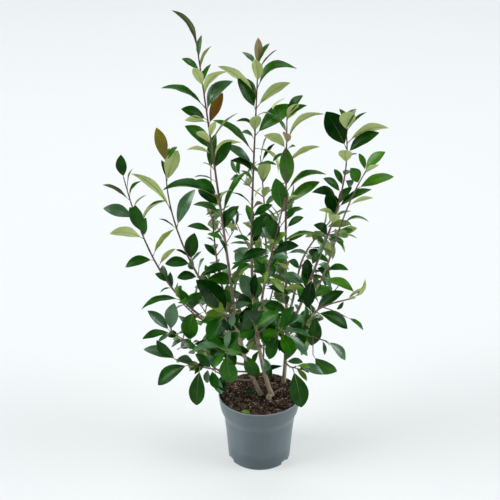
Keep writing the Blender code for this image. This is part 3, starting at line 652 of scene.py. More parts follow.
class Leaf:
    """A leaf: its root, the way it heads, the ways that its upper side faces, its blade spreads and its tip
    curls, its length and its curl, and its finish, width and fold where they are known."""

    def __init__(self, root, heading, face, across, length, curl, down=None, kind="", width=1.0,
                 fold=FLAT_FOLD):
        self.root = root
        self.heading = heading
        self.face = face
        self.across = across
        self.length = length
        self.curl = curl
        self.down = face if down is None else down
        self.kind = kind
        self.width = width
        self.fold = fold

    def at(self, s, side):
        """A point of the blade: along the midrib, which curls back, and to the side, which folds up."""
        half = self.length * LEAF_WIDTH / 2 * side
        back = self.curl * self.length * s ** 2
        return (self.root + self.heading * self.length * s - self.down * back
                + self.across * half + self.face * abs(half) * LEAF_FOLD)

    def outline(self):
        """Points of its outline and midrib away from its root, for the test of its space."""
        stations = ((0.3, 0.8), (0.5, 1.0), (0.75, 0.7))
        points = [self.at(s, side * width) for s, width in stations for side in (-1, 0, 1)]
        return np.array(points + [self.at(1.0, 0.0)])

    def spots(self):
        """Points over its blade, for the test of whether another leaf hides it."""
        return [self.at(s, side) for s in (0.25, 0.45, 0.65, 0.85) for side in (-0.6, 0.0, 0.6)]

    def tree(self):
        """The search tree of its skin away from its root, for the test of whether two leaves cross."""
        foot = [self.at(PETIOLE, -0.1), self.at(PETIOLE, 0.1)]
        rim = [self.at(LEAF_WIDEST, 1.0), self.at(1.0, 0.0), self.at(LEAF_WIDEST, -1.0)]
        keel = self.at(LEAF_WIDEST, 0.0) - self.face * self.length * LEAF_KEEL
        points = [tuple(p) for p in foot + rim + [keel]]
        faces = [(0, 1, 2, 4), (2, 3, 4), (0, 4, 5), (1, 5, 2), (2, 5, 3), (3, 5, 4), (0, 5, 1)]
        return BVHTree.FromPolygons(points, faces, epsilon=LEAF_CLEARANCE)


class Space:
    """Tells whether points keep to a mass's own space: nearer its stem than any other, clear of limbs and
    pot, within the solids' reach, out of the sky's gaps, and not before a leaf of the photograph."""

    def __init__(self, limbs, stems, shown):
        self.names = list(stems)
        paths = [path for path, _ in stems.values()]
        self.starts = np.concatenate([p[:-1] for p in paths])
        self.ends = np.concatenate([p[1:] for p in paths])
        self.owner = np.concatenate([np.full(len(p) - 1, i) for i, p in enumerate(paths)])
        self.limb_starts = np.concatenate([p[:-1] for p, _ in limbs.values()])
        self.limb_ends = np.concatenate([p[1:] for p, _ in limbs.values()])
        self.limb_radii = np.concatenate([r[:-1] for _, r in limbs.values()])
        self.lowest = np.array(CAD_BOX[0]) - REACH_MARGIN
        self.highest = np.array(CAD_BOX[1]) + REACH_MARGIN
        self.shown = np.array([spot for leaf in shown for spot in leaf.spots()])
        self.shown_flat = flattened(self.shown)

    @staticmethod
    def distances(points, starts, ends):
        """Distance from each point to each straight piece."""
        span = ends - starts
        offset = points[:, None] - starts[None]
        share = np.clip((offset * span).sum(-1) / (span ** 2).sum(-1), 0, 1)
        return np.linalg.norm(offset - share[..., None] * span, axis=-1)

    def hides_shown(self, points):
        """True where a point stands before a shown leaf on its line of sight."""
        apart = np.linalg.norm(flattened(points)[:, None] - self.shown_flat[None], axis=-1)
        return bool(((apart < SHOWN_SPOT) & (points[:, None, 1] < self.shown[None, :, 1])).any())

    def holds(self, name, points):
        """True where every point keeps to the space of the mass or limb of that name."""
        if name not in BACK_SHOOTS and not in_closed_crown(points) or in_sky_gap(points):
            return False
        if (points < self.lowest).any() or (points > self.highest).any():
            return False
        near = self.distances(points, self.starts, self.ends)
        if name in self.names:
            own = self.owner == self.names.index(name)
            if (near[:, own].min(1) + OWN_SPACE_MARGIN > near[:, ~own].min(1)).any():
                return False
        elif near.min() < OWN_SPACE_MARGIN:
            return False
        clear = self.distances(points, self.limb_starts, self.limb_ends) - self.limb_radii
        if clear.min() < LIMB_CLEARANCE or (points[:, 2] <= FLOOR_CLEARANCE).any():
            return False
        low = points[points[:, 2] < POT_CLEAR_HEIGHT]
        outside = np.hypot(low[:, 0], low[:, 1]) > RIM_RADIUS + POT_CLEARANCE
        return bool(outside.all()) and not self.hides_shown(points)


def aim_leaf(root, axis, azimuth, pitch, length, curl, roll):
    """A leaf at a root on a twig: its heading about the twig's axis, and the way its upper side faces."""
    side = sideways(axis)
    over = np.cross(axis, side)
    outward = side * math.cos(azimuth) + over * math.sin(azimuth)
    heading = unit(outward * math.cos(pitch) + axis * math.sin(pitch))
    face = axis * FACE_ALONG + np.array(FACE_UP)
    face = unit(face - heading * np.dot(face, heading))
    across = np.cross(heading, face)
    turned = face * math.cos(roll) + across * math.sin(roll)
    return Leaf(root, heading, turned, np.cross(heading, turned), length, curl)


# What the photograph shows

def seen(x, z, y):
    """The point at depth y on the line of sight through a place in the front plane."""
    eye = np.array(EYE)
    return eye + (np.array((x, 0.0, z)) - eye) * (1 - y / EYE[1])


def flattened(points):
    """Points moved along their lines of sight into the front plane."""
    eye = np.array(EYE)
    return eye + (points - eye) / (1 - points[:, 1:2] / EYE[1])


def in_closed_crown(points):
    """True where the photograph's view of every point is inside the closed crown and off its open foot."""
    x, _, z = flattened(points).T
    heights, left, right = zip(*CLOSED_CROWN)
    inside = (x > np.interp(z, heights, left)) & (x < np.interp(z, heights, right))
    inside &= (z > heights[0]) & (z < heights[-1])
    foot_left, foot_right, foot_top = OPEN_FOOT
    foot = (x > foot_left) & (x < foot_right) & (z < foot_top)
    return bool((inside & ~foot).all())


def in_sky_gap(points):
    """True where the photograph's view of a point is inside one of the crown's gaps."""
    x, _, z = flattened(points).T
    gap_x, gap_z, radius = np.array(SKY_GAPS).T
    return bool((np.hypot(x[:, None] - gap_x, z[:, None] - gap_z) < radius).any())


def plan_side_twigs(paths):
    """The finer twigs that the photograph shows, from a limb's side to their tips."""
    return {name: swept(along(paths[carrier], place)[0], seen(*tip, depth), SIDE_SWEEP, SHOWN_TWIG_RINGS)
            for name, (carrier, place, tip, depth) in SIDE_TWIGS.items()}


def read_leaf(path, row):
    """A leaf as the photograph shows it: from the limb's nearest point it arches over to the tip's line of
    sight, with its upper side turned about the chord from the shoot's own way round towards the eye."""
    foot_x, foot_z, tip_x, tip_z, share, turn, arch, kind, width = row
    path = np.array([along(path, place)[0] for place in np.linspace(0, 1, PATH_SAMPLES)])
    flat = flattened(path)
    index = int(np.argmin(np.hypot(flat[:, 0] - foot_x, flat[:, 2] - foot_z)))
    root, axis = path[index], unit(np.gradient(path, axis=0)[index])
    short = np.linalg.norm(seen(tip_x, tip_z, root[1]) - root)
    hidden = math.sqrt(max(FULL_LEAF ** 2 - short ** 2, 0.0))
    chord = seen(tip_x, tip_z, root[1] - share * hidden) - root
    ahead, view = unit(chord), unit(np.array(EYE) - root)
    side = unit(np.cross(ahead, view))
    side = side * (1.0 if side @ (axis + ARCH_UP) > 0 else -1.0)
    toward = unit(view - ahead * (ahead @ view))
    face = side * math.cos(math.radians(turn)) + toward * math.sin(math.radians(turn))
    arch = max(arch, LEAST_ARCH * abs(ahead[0])) if arch > 0 else arch
    fold = EDGE_FOLD if abs(turn) < EDGE_TURN else FLAT_FOLD
    return Leaf(root, ahead + arch * side, face, np.cross(ahead, face), np.linalg.norm(chord), arch, side,
                kind, width, fold)


# Growth round what the photograph shows

def place_leaf(space, name, others, root, axis, azimuth, pitch, length, curl, roll):
    """The leaf as planned, or turned and then shrunk until it keeps to its space, or none."""
    close = [tree for spot, tree in others if np.linalg.norm(spot - root) < NEIGHBOUR]
    for size in LEAF_SIZES:
        for turn in LEAF_TURNS:
            leaf = aim_leaf(root, axis, azimuth + math.radians(turn), pitch, length * size, curl, roll)
            if not space.holds(name, leaf.outline()):
                continue
            tree = leaf.tree()
            if not any(tree.overlap(other) for other in close):
                others.append((root, tree))
                return leaf
    return None


def grow_twigs(space, name, stem, count, low, high, rng):
    """Side twigs that leave a mass's stem by the golden angle, where they keep to its space."""
    path, _ = stem
    twigs = []
    azimuth = rng.uniform(0, 2 * math.pi)
    for _ in range(count * TWIG_TRIES):
        if len(twigs) == count:
            break
        root, axis = along(path, low + (high - low) * rng.random())
        azimuth += GOLDEN_ANGLE
        reach = np.linalg.norm(path[-1] - path[0]) * rng.uniform(*TWIG_REACH)
        guide = aim_leaf(root, axis, azimuth, TWIG_PITCH, min(reach, LONGEST_TWIG), -TWIG_RISE, 0.0)
        twig = np.array([guide.at(s, 0.0) for s in np.linspace(0, 1, SIDE_TWIG_RINGS)])
        if space.holds(name, twig[1:]):
            twigs.append((twig, np.linspace(*TWIG_RADII, len(twig))))
    return twigs


def grow_leaves(space, name, others, twig, count, length, first, last, tall, rng):
    """Leaves up one twig: level and long at its foot, steep and short at its tip."""
    path, _ = twig
    level, gain, slack = TALL_HABIT if tall else LOW_HABIT
    leaves = []
    azimuth = rng.uniform(0, 2 * math.pi)
    for k in range(count):
        share = (k + 0.5) / count
        root, axis = along(path, first + (last - first) * share)
        azimuth += GOLDEN_ANGLE
        pitch = math.radians(rng.normal(level, PITCH_SPREAD) + gain * share ** 1.5)
        size = length * rng.uniform(*LENGTH_SPREAD) * (1.0 - TIP_SHORTENING * share ** 2)
        curl = rng.uniform(*CURL_SPREAD) * slack
        roll = rng.normal(0, ROLL_SPREAD)
        leaves.append(place_leaf(space, name, others, root, axis, azimuth, pitch, size, curl, roll))
    if last == SHOOT_TIP:
        root, axis = along(path, last)
        leaves.append(place_leaf(space, name, others, root, axis, azimuth, TIP_LEAF["pitch"],
                                 length * TIP_LEAF["length"], TIP_LEAF["curl"], 0.0))
    return [leaf for leaf in leaves if leaf is not None]


def grow_mass(space, name, stem, row, shown, others, tall, seed):
    """The twigs of one mass and its leaves by the rule, which keep to its foot where the photograph shows
    the leaves of its shoot one by one."""
    _, place, _, leaves, twigs, length, _ = row
    rng = np.random.default_rng(seed)
    if shown >= SHOWN_LEAVES:
        side_twigs = grow_twigs(space, name, stem, FINER_TWIGS, *SHOWN_FOOT, rng)
        grown = grow_leaves(space, name, others, stem, SHOWN_FILL, length, *SHOWN_FOOT, tall, rng)
    else:
        side_twigs = grow_twigs(space, name, stem, twigs + FINER_TWIGS, *TWIGS_BETWEEN, rng)
        first = TOP_LEAVES_FROM if place == 1.0 and tall else SIDE_LEAVES_FROM
        grown = grow_leaves(space, name, others, stem, leaves - shown, length, first, SHOOT_TIP, tall, rng)
    for twig in side_twigs:
        grown += grow_leaves(space, name, others, twig, TWIG_LEAVES, length * TWIG_LEAF_SIZE,
                             TWIG_LEAVES_FROM, SHOOT_TIP, tall, rng)
    return side_twigs, grown


def grow_on_limb(space, name, limb, others, seed):
    """Leaves that grow straight from a limb, above the open foot of the crown."""
    path, _ = limb
    first, last = LIMB_LEAVES_BETWEEN
    first = max(np.interp(LIMB_LEAVES_FROM, path[:, 2], np.linspace(0, 1, len(path))), first)
    rng = np.random.default_rng(seed)
    return grow_leaves(space, name, others, limb, LIMB_LEAVES, FULL_LEAF, first, last, False, rng)


# Meshes from arrays

# What is left of a limb's last rings, which are drawn in
END_RING = 0.02


def grid_faces(rows, columns, copies=1, wrap=False):
    """The four-cornered faces between the points of equal grids, laid out row by row, copy after copy."""
    wide = columns if wrap else columns - 1
    row, column = np.meshgrid(np.arange(rows - 1), np.arange(wide), indexing="ij")
    after = (column + 1) % columns
    one = np.stack([row * columns + column, row * columns + after,
                    (row + 1) * columns + after, (row + 1) * columns + column], axis=-1).reshape(-1, 4)
    return (one[None] + (np.arange(copies) * rows * columns)[:, None, None]).reshape(-1, 4)


def add_piece(name, points, faces, finish, slot, replaces=(), uv=None):
    """A smooth mesh piece from arrays of points and faces, riding on the root body."""
    mesh = bpy.data.meshes.new(name)
    points, faces = np.asarray(points, float).reshape(-1, 3), np.asarray(faces)
    mesh.vertices.add(len(points))
    mesh.vertices.foreach_set("co", points.ravel())
    mesh.loops.add(faces.size)
    mesh.loops.foreach_set("vertex_index", faces.ravel())
    mesh.polygons.add(len(faces))
    mesh.polygons.foreach_set("loop_start", np.arange(len(faces)) * faces.shape[1])
    mesh.polygons.foreach_set("use_smooth", np.ones(len(faces), bool))
    mesh.update(calc_edges=True)
    if uv is not None:
        layer = mesh.uv_layers.new(name="UVMap")
        layer.data.foreach_set("uv", uv.reshape(-1, 2)[faces.ravel()].ravel())
    mesh.materials.append(finish)
    piece = bpy.data.objects.new(name, mesh)
    bpy.context.scene.collection.objects.link(piece)
    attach(piece, "root")
    if replaces:
        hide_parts(*replaces)


def frames(path):
    """Two directions across a path at each of its points, carried along without twist."""
    tangents = unit(np.gradient(path, axis=0))
    side = sideways(tangents[0])
    sides = []
    for tangent in tangents:
        side = unit(side - tangent * np.dot(side, tangent))
        sides.append(side)
    sides = np.array(sides)
    return sides, np.cross(tangents, sides)


def tube(path, radii, sides, relief=1.0):
    """A round limb: each ring is the path's point plus cos and sin of the turn along its two cross
    directions, times the radius, which may be scaled by a relief of ring and side."""
    across, over = frames(path)
    turn = np.arange(sides) * 2 * math.pi / sides
    reach = np.asarray(radii)[:, None] * relief
    ring = across[:, None] * np.cos(turn)[None, :, None] + over[:, None] * np.sin(turn)[None, :, None]
    return path[:, None] + ring * reach[..., None]


def join_tubes(tubes):
    """Points and faces of several round limbs as one mesh, each end drawn in to a near point."""
    points, faces, count = [], [], 0
    for skin in tubes:
        first, last = (end.mean(1, keepdims=True) + (end - end.mean(1, keepdims=True)) * END_RING
                       for end in (skin[:1], skin[-1:]))
        skin = np.concatenate([first, skin, last])
        rows, sides = skin.shape[:2]
        points.append(skin.reshape(-1, 3))
        faces.append(grid_faces(rows, sides, wrap=True) + count)
        count += rows * sides
    return np.concatenate(points), np.concatenate(faces)


# Materials

SPECULAR = "Specular IOR Level"


class Socket:
    """A value in a material's nodes; maths on it adds Math nodes."""

    def __init__(self, paint, socket):
        self.paint = paint
        self.socket = socket

    def math(self, operation, first, second=0.0):
        """One Math node's result."""
        return self.paint.node("ShaderNodeMath", {"operation": operation}, {0: first, 1: second})

    def __add__(self, other):
        return self.math("ADD", self, other)

    def __sub__(self, other):
        return self.math("SUBTRACT", self, other)

    def __rsub__(self, other):
        return self.math("SUBTRACT", other, self)

    def __mul__(self, other):
        return self.math("MULTIPLY", self, other)

    __radd__ = __add__


class Nodes:
    """A tree of shader nodes, which all come from one method."""

    def __init__(self, tree):
        self.tree = tree

    def node(self, kind, settings, sockets, output=0):
        """Add a node: its settings first, then its sockets' values or links."""
        made = self.tree.nodes.new(kind)
        for key, value in settings.items():
            setattr(made, key, value)
        for key, value in sockets.items():
            if isinstance(value, Socket):
                self.tree.links.new(value.socket, made.inputs[key])
            else:
                made.inputs[key].default_value = value
        return Socket(self, made.outputs[output])


class Paint(Nodes):
    """A material with one surface shader."""

    def __init__(self, name, constants):
        self.material = bpy.data.materials.new(name)
        self.material.use_nodes = True
        super().__init__(self.material.node_tree)
        self.shader = self.tree.nodes["Principled BSDF"]
        for key, value in constants.items():
            self.shader.inputs[key].default_value = value

    def place(self):
        """The point on the piece, in its own metres."""
        return self.node("ShaderNodeTexCoord", {}, {}, "Object")

    def stretched(self, scale):
        """The point on the piece, scaled along each axis."""
        return self.node("ShaderNodeMapping", {}, {"Vector": self.place(), "Scale": scale})

    def noise(self, vector, scale, detail=3.0, roughness=0.55):
        """Cloudy noise with so many features to a metre."""
        return self.node("ShaderNodeTexNoise", {}, {"Vector": vector, "Scale": scale, "Detail": detail,
                                                    "Roughness": roughness}, "Fac")

    def blend(self, mask, first, second):
        """One colour passing into another by a mask."""
        first, second = (c if isinstance(c, Socket) else (*c, 1.0) for c in (first, second))
        return self.node("ShaderNodeMix", {"data_type": "RGBA"}, {0: mask, 6: first, 7: second}, 2)

    def between(self, value, low, high):
        """A value's place between two limits, from 0 to 1."""
        return self.node("ShaderNodeMapRange", {}, {"Value": value, "From Min": low, "From Max": high})

    def relief(self, height, distance, strength):
        """A fine relief on the surface."""
        self.set("Normal", self.node("ShaderNodeBump", {}, {"Strength": strength, "Distance": distance,
                                                            "Height": height}, "Normal"))

    def set(self, name, value):
        """Feed one of the surface shader's sockets."""
        self.tree.links.new(value.socket, self.shader.inputs[name])


def leaf_paint(name, deep, bright, rough, shine):
    """A waxy blade: a mottled green with a paler midrib and shallow veins that slant from it."""
    paint = Paint(name, {SPECULAR: shine})
    uv = paint.node("ShaderNodeUVMap", {"uv_map": "UVMap"}, {})
    forth = paint.node("ShaderNodeSeparateXYZ", {}, {"Vector": uv}, "X")
    side = Socket(paint, forth.socket.node.outputs["Y"])
    lean = side.math("ABSOLUTE", side - 0.5)
    wave = side.math("SINE", (forth - lean * 0.35) * 75.0)
    mottle = paint.noise(paint.place(), 28.0)
    body = paint.blend(paint.between(mottle + wave * 0.02, 0.3, 0.7), deep, bright)
    midrib = 1.0 - paint.between(lean, 0.008, 0.030)
    paint.set("Base Color", paint.blend(midrib * 0.30, body, tuple(c * 1.6 + 0.04 for c in bright)))
    paint.set("Roughness", paint.noise(paint.place(), 60.0) * 0.10 + rough)
    grain = paint.noise(paint.place(), 420.0, 2.0)
    paint.relief(wave * 0.35 + grain * 0.6, 0.00016, 0.6)
    return paint.material


def bark_paint(name, deep, pale, streak):
    """Smooth young bark: tan or red-brown, streaked along the limb, with pale breathing pores."""
    paint = Paint(name, {SPECULAR: 0.35})
    streaks = paint.noise(paint.stretched((1.0, 1.0, 0.22)), streak, 4.0, 0.6)
    pores = paint.noise(paint.stretched((1.0, 1.0, 1.6)), streak * 2.6, 1.0)
    body = paint.blend(paint.between(streaks, 0.32, 0.68), deep, pale)
    spots = paint.between(pores, 0.66, 0.74)
    paint.set("Base Color", paint.blend(spots * 0.6, body, tuple(min(1.0, c * 1.5) for c in pale)))
    paint.set("Roughness", streaks * 0.2 + 0.52)
    paint.relief(streaks + spots * 0.5, 0.0006, 0.7)
    return paint.material


def pot_paint():
    """Moulded grey plastic: a satin face with faint flow marks, a painted highlight that makes it paler at
    the lip, and painted shade that makes it darker towards its foot."""
    paint = Paint("pot_plastic", {SPECULAR: 0.3})
    place = paint.place()
    height = paint.node("ShaderNodeSeparateXYZ", {}, {"Vector": place}, "Z")
    flow = paint.noise(paint.stretched((1.0, 1.0, 0.35)), 22.0, 4.0, 0.6)
    body = paint.blend(paint.between(flow, 0.3, 0.7), (0.112, 0.148, 0.165), (0.132, 0.171, 0.190))
    # Painted shade: the grey darkens towards the pot's foot, with a ragged top edge from the flow marks
    foot_shade = 1.0 - paint.between(height + flow * 0.03, 0.045, 0.060)
    body = paint.blend(foot_shade * 0.6, body, (0.078, 0.108, 0.122))
    # Painted highlight: the top of the lip is painted much paler, where light catches the rim
    lip = paint.between(height, POT_HEIGHT - 0.0024, POT_HEIGHT - 0.0008)
    paint.set("Base Color", paint.blend(lip * 0.7, body, (0.34, 0.39, 0.41)))
    paint.set("Roughness", paint.noise(place, 160.0) * 0.10 + 0.28)
    paint.relief(paint.noise(place, 900.0, 2.0), 0.00010, 0.5)
    return paint.material


def soil_paint(name, deep, pale, scale):
    """Moist peat and bark: dark crumbs with paler fibres."""
    paint = Paint(name, {SPECULAR: 0.25})
    crumbs = paint.noise(paint.place(), scale, 5.0, 0.7)
    fibres = paint.noise(paint.stretched((1.0, 0.35, 1.0)), scale * 2.2)
    body = paint.blend(paint.between(crumbs, 0.35, 0.65), deep, pale)
    fibrous = paint.between(fibres, 0.62, 0.72) * 0.5
    paint.set("Base Color", paint.blend(fibrous, body, tuple(c * 2.0 for c in pale)))
    paint.set("Roughness", crumbs * 0.3 + 0.6)
    paint.relief(crumbs, 0.0016, 0.9)
    return paint.material


# Leaves

# finish: two tones of the upper side, two of the underside, and the upper side's roughness and shine
LEAF_FINISHES = {
    # The deep finish's near-black greens are partly the leaves' own dark tone and partly painted shade, for
    # leaves that lie in shade
    "deep": ((0.001, 0.020, 0.001), (0.004, 0.046, 0.001), (0.150, 0.290, 0.060), (0.240, 0.390, 0.105),
             0.22, 0.08),
    "dark": ((0.004, 0.046, 0.002), (0.014, 0.098, 0.003), (0.200, 0.350, 0.080), (0.320, 0.480, 0.140),
             0.22, 0.11),
    "green": ((0.010, 0.086, 0.001), (0.034, 0.165, 0.004), (0.260, 0.420, 0.095), (0.380, 0.540, 0.160),
              0.22, 0.15),
    "bright": ((0.030, 0.150, 0.003), (0.070, 0.230, 0.008), (0.290, 0.450, 0.090), (0.400, 0.560, 0.150),
               0.22, 0.24),
    # The sage finish's paler grey-green upper tones are a painted sheen, on top of its real shine
    "sage_sheen": ((0.028, 0.112, 0.036), (0.080, 0.192, 0.080), (0.270, 0.420, 0.150), (0.380, 0.520, 0.210),
             0.18, 0.50),
    "lime": ((0.085, 0.190, 0.005), (0.170, 0.300, 0.014), (0.340, 0.460, 0.085), (0.440, 0.560, 0.150),
             0.30, 0.40),
    "fresh": ((0.014, 0.085, 0.004), (0.036, 0.140, 0.008), (0.470, 0.590, 0.190), (0.620, 0.720, 0.300),
              0.26, 0.40),
    "olive": ((0.060, 0.075, 0.012), (0.120, 0.130, 0.028), (0.220, 0.250, 0.085), (0.320, 0.340, 0.140),
              0.32, 0.40),
    "gold": ((0.170, 0.150, 0.002), (0.270, 0.230, 0.004), (0.260, 0.210, 0.018), (0.330, 0.270, 0.036),
             0.26, 0.40),
    "rust": ((0.130, 0.055, 0.003), (0.250, 0.120, 0.006), (0.200, 0.080, 0.010), (0.300, 0.140, 0.024),
             0.30, 0.15),
    "tan": ((0.050, 0.042, 0.012), (0.100, 0.072, 0.022), (0.330, 0.245, 0.125), (0.450, 0.350, 0.195),
            0.34, 0.40),
    "pink": ((0.030, 0.042, 0.006), (0.065, 0.078, 0.012), (0.600, 0.330, 0.260), (0.720, 0.520, 0.390),
             0.30, 0.40),
}
UNDER_ROUGHER = 0.22
UNDER_SHINE = 0.20

# Finishes that the rule deals out, and their shares on tall shoots and everywhere else; the larger share of
# the deep finish low down is partly painted shade under the crown
RULE_FINISHES = ("deep", "dark", "green", "sage_sheen", "fresh")
TALL_SHARES = (0.14, 0.36, 0.20, 0.14, 0.16)
LOW_SHARES = (0.30, 0.33, 0.15, 0.16, 0.06)

# Blades: faces along and across, breadth and thickness, the outline's exponents towards stalk and tip, the
# spread of breadth and fold, the least half width, the margin's flattening, its waves, their shift between
# the two sides and their height, the tip's curl, and where the upper and lower side come near each other
BLADE_ROWS = 13
BLADE_COLUMNS = 4
BLADE_WIDTH = 0.38
BLADE_THICKNESS = 0.0003
STALK_EXPONENT = (0.95, 1.15)
TIP_EXPONENT = 0.88
WIDTH_SPREAD = (0.92, 1.06)
FOLD_SPREAD = (0.7, 1.3)
LEAST_HALF = (0.0003, 0.00008)
MARGIN_FLATTENING = 0.45
MARGIN_WAVES = (1.4, 2.6)
MARGIN_SHIFT = 0.25
MARGIN_RIPPLE = 0.010
BLADE_TIP_CURL = 0.05
BLADE_ENDS = (0.02, 0.98)

# Stalks: place along the leaf and radius on a leaf of the common length, and how far they lie under it
STALK_RADII = ((0.0, 0.0011), (PETIOLE * 0.8, 0.00075), (PETIOLE * 1.4, 0.00065), (0.93, 0.00018))
COMMON_LEAF = 0.08
STALK_DROP = 0.0002


def blade_sheets(leaves, rng):
    """Every blade's middle surface, t along it and v across it. The half width is t^a (1 - t)^b over its
    own peak; the blade folds up from the midrib by f |half v| (1 - 0.45 |v|), and its margin ripples by
    sin(2 pi (n t + phase)) v^2 sin(pi t); the midrib curls back by s^2, with s from the leaf's root, and
    the blade's tip by t^5."""
    def of(key):
        """One value of every leaf."""
        return np.array([getattr(leaf, key) for leaf in leaves])[:, None, None]

    length = of("length")
    t = (0.5 - 0.5 * np.cos(math.pi * np.linspace(0.0, 1.0, BLADE_ROWS + 1)))[None, :, None]
    v = np.linspace(-1.0, 1.0, BLADE_COLUMNS + 1)[None, None, :]
    each = (len(leaves), 1, 1)
    a, b = rng.uniform(*STALK_EXPONENT, each), TIP_EXPONENT
    peak = (a / (a + b)) ** a * (b / (a + b)) ** b
    half = length * BLADE_WIDTH / 2 * of("width") * rng.uniform(*WIDTH_SPREAD, each) * t ** a * (1 - t) ** b
    half = np.maximum(half / peak, LEAST_HALF[0] * (1 - t) + LEAST_HALF[1])
    s = PETIOLE + (1 - PETIOLE) * t
    side = half * v
    lift = of("fold") * rng.uniform(*FOLD_SPREAD, each) * np.abs(side) * (1 - MARGIN_FLATTENING * np.abs(v))
    waves = rng.uniform(*MARGIN_WAVES, each) * t + rng.random(each) + MARGIN_SHIFT * np.sign(v)
    ripple = np.sin(2 * math.pi * waves) * MARGIN_RIPPLE * length * np.abs(v) ** 2 * np.sin(math.pi * t)
    face = of("face")
    middle = (of("root") + of("heading") * (length * s)[..., None] + of("across") * side[..., None]
              - of("down") * (of("curl") * length * s ** 2)[..., None])
    lift = lift + ripple - BLADE_TIP_CURL * length * t ** 5
    return middle + face * lift[..., None], face, t, v


def make_blades(name, leaves, upper, under, rng):
    """The upper and lower sheets of a kind of leaf, which part by the blade's thickness and meet at its
    edge."""
    middle, face, t, v = blade_sheets(leaves, rng)
    gap = BLADE_THICKNESS / 2 * (1 - v ** 4) * np.sin(math.pi * np.clip(t, *BLADE_ENDS))
    rise = face * gap[..., None]
    faces = grid_faces(BLADE_ROWS + 1, BLADE_COLUMNS + 1, len(leaves))
    uv = np.stack(np.broadcast_arrays(t, (v + 1) / 2), axis=-1)
    uv = np.broadcast_to(uv, (len(leaves), *uv.shape[1:]))
    add_piece(f"leaves_{name}_upper", middle + rise, faces[:, [0, 3, 2, 1]], upper, "foliage", uv=uv)
    add_piece(f"leaves_{name}_lower", middle - rise, faces, under, "foliage", uv=uv)


def make_stalks(leaves, finish):
    """A slender stalk for every leaf that runs on under its blade as the midrib, thinning to its tip."""
    places, radii = zip(*STALK_RADII)
    s = np.linspace(0.0, places[-1], 9)
    blade = np.clip((s - PETIOLE) / (1 - PETIOLE), 0, 1)
    tubes = []
    for leaf in leaves:
        path = (leaf.root + np.outer(s, leaf.heading) * leaf.length
                - np.outer(leaf.curl * leaf.length * s ** 2, leaf.down)
                - np.outer(BLADE_TIP_CURL * leaf.length * blade ** 5 + STALK_DROP, leaf.face))
        tubes.append(tube(path, np.interp(s, places, radii) * (leaf.length / COMMON_LEAF), 4))
    points, faces = join_tubes(tubes)
    add_piece("leaf_stalks", points, faces, finish, "foliage")


def dress_leaves(masses):
    """Every leaf in its finish: as the photograph shows it, or dealt out, darker low down, partly as
    painted shade, and fresher above."""
    rng = np.random.default_rng(7)
    kinds = {kind: [] for kind in LEAF_FINISHES}
    for name, (_, leaves) in masses.items():
        shares = TALL_SHARES if name in TALL_MASSES else LOW_SHARES
        for leaf in leaves:
            kinds[leaf.kind or rng.choice(RULE_FINISHES, p=shares)].append(leaf)
    for kind, leaves in kinds.items():
        deep, bright, under_deep, under_bright, rough, shine = LEAF_FINISHES[kind]
        upper = leaf_paint(f"leaf_{kind}_upper", deep, bright, rough, shine)
        under = leaf_paint(f"leaf_{kind}_lower", under_deep, under_bright, rough + UNDER_ROUGHER,
                           UNDER_SHINE)
        make_blades(kind, leaves, upper, under, rng)


# Stems, boughs and shoots

# Sides round a limb's skin, its relief's depth against its radius, and the cut stub's rings and taper
LIMB_SIDES = {"stem": 20, "bough": 14}
LIMB_RELIEF = 0.045
STUB_RELIEF = 0.06
STUB_RINGS = 12
STUB_TAPER = (1.25, 0.95)
SHOOT_SIDES = 8
SHOOT_RELIEF = 0.09
TWIG_SIDES = 6
# Share of a shoot's length that is brown, on tall shoots and on others
TALL_BROWN = 0.45
LOW_BROWN = 0.6
# Bark: range of a random turn, swells, their waves to a metre and their depth, the first node, the nodes'
# spacing and breadth, and the rise of a node's ring, of the scar on it and how narrow the scar is
ANY_TURN = (0, 6.28)
SWELLS = 6
SWELL_WAVES = (40, 260)
SWELL_DEPTH = 0.25
FIRST_NODE = 0.015
NODE_SPACING = 0.024
NODE_BREADTH = 0.0016
NODE_RISE = 0.7
SCAR_RISE = 1.8
SCAR_FOCUS = 2.2
# How many times finer than in the solids the rings of limbs and of shoots are
FINE_LIMBS = 8
FINE_SHOOTS = 10


def bark_relief(path, sides, rng, depth):
    """Relief of a limb: slow swells round and along it, each a sine of its length and turn, and a raised
    ring at each node, exp(-(distance / breadth)^2), higher at its scar."""
    length = np.concatenate([[0], np.cumsum(np.linalg.norm(np.diff(path, axis=0), axis=1))])[:, None]
    turn = np.arange(sides)[None] * 2 * math.pi / sides
    relief = np.ones((len(path), sides))
    for _ in range(SWELLS):
        waves, lobes = rng.uniform(*SWELL_WAVES), rng.integers(1, 5)
        relief += depth * SWELL_DEPTH * np.sin(length * waves + turn * lobes + rng.uniform(*ANY_TURN))
    azimuth = rng.uniform(*ANY_TURN)
    for node in np.arange(FIRST_NODE, length[-1, 0], NODE_SPACING):
        azimuth += GOLDEN_ANGLE
        near = np.exp(-((length - node) / NODE_BREADTH) ** 2)
        scar = SCAR_RISE * np.exp(SCAR_FOCUS * (np.cos(turn - azimuth) - 1))
        relief += near * depth * (NODE_RISE + scar)
    return relief


def make_limbs(limbs):
    """The stems, the boughs and the cut stub with their bark's relief, in place of the plain limbs."""
    rng = np.random.default_rng(11)
    bark = bark_paint("bark_tan", (0.300, 0.230, 0.150), (0.560, 0.460, 0.330), 260.0)
    for kind, sides in LIMB_SIDES.items():
        names = [n for n in limbs if n.startswith(kind)]
        skins = [tube(*limbs[n], sides, bark_relief(limbs[n][0], sides, rng, LIMB_RELIEF)) for n in names]
        add_piece(f"{kind}s_bark", *join_tubes(skins), bark, "bark", replaces=names)
    path = bezier(((*STUB_FOOT, FOOT_HEIGHT), STUB_TOP), STUB_RINGS)
    sides = LIMB_SIDES["stem"]
    relief = bark_relief(path, sides, rng, STUB_RELIEF)
    skin = tube(path, STUB_RADIUS * np.linspace(*STUB_TAPER, STUB_RINGS), sides, relief)
    add_piece("cut_stub_bark", *join_tubes([skin]), bark, "bark", replaces=["cut_stub"])


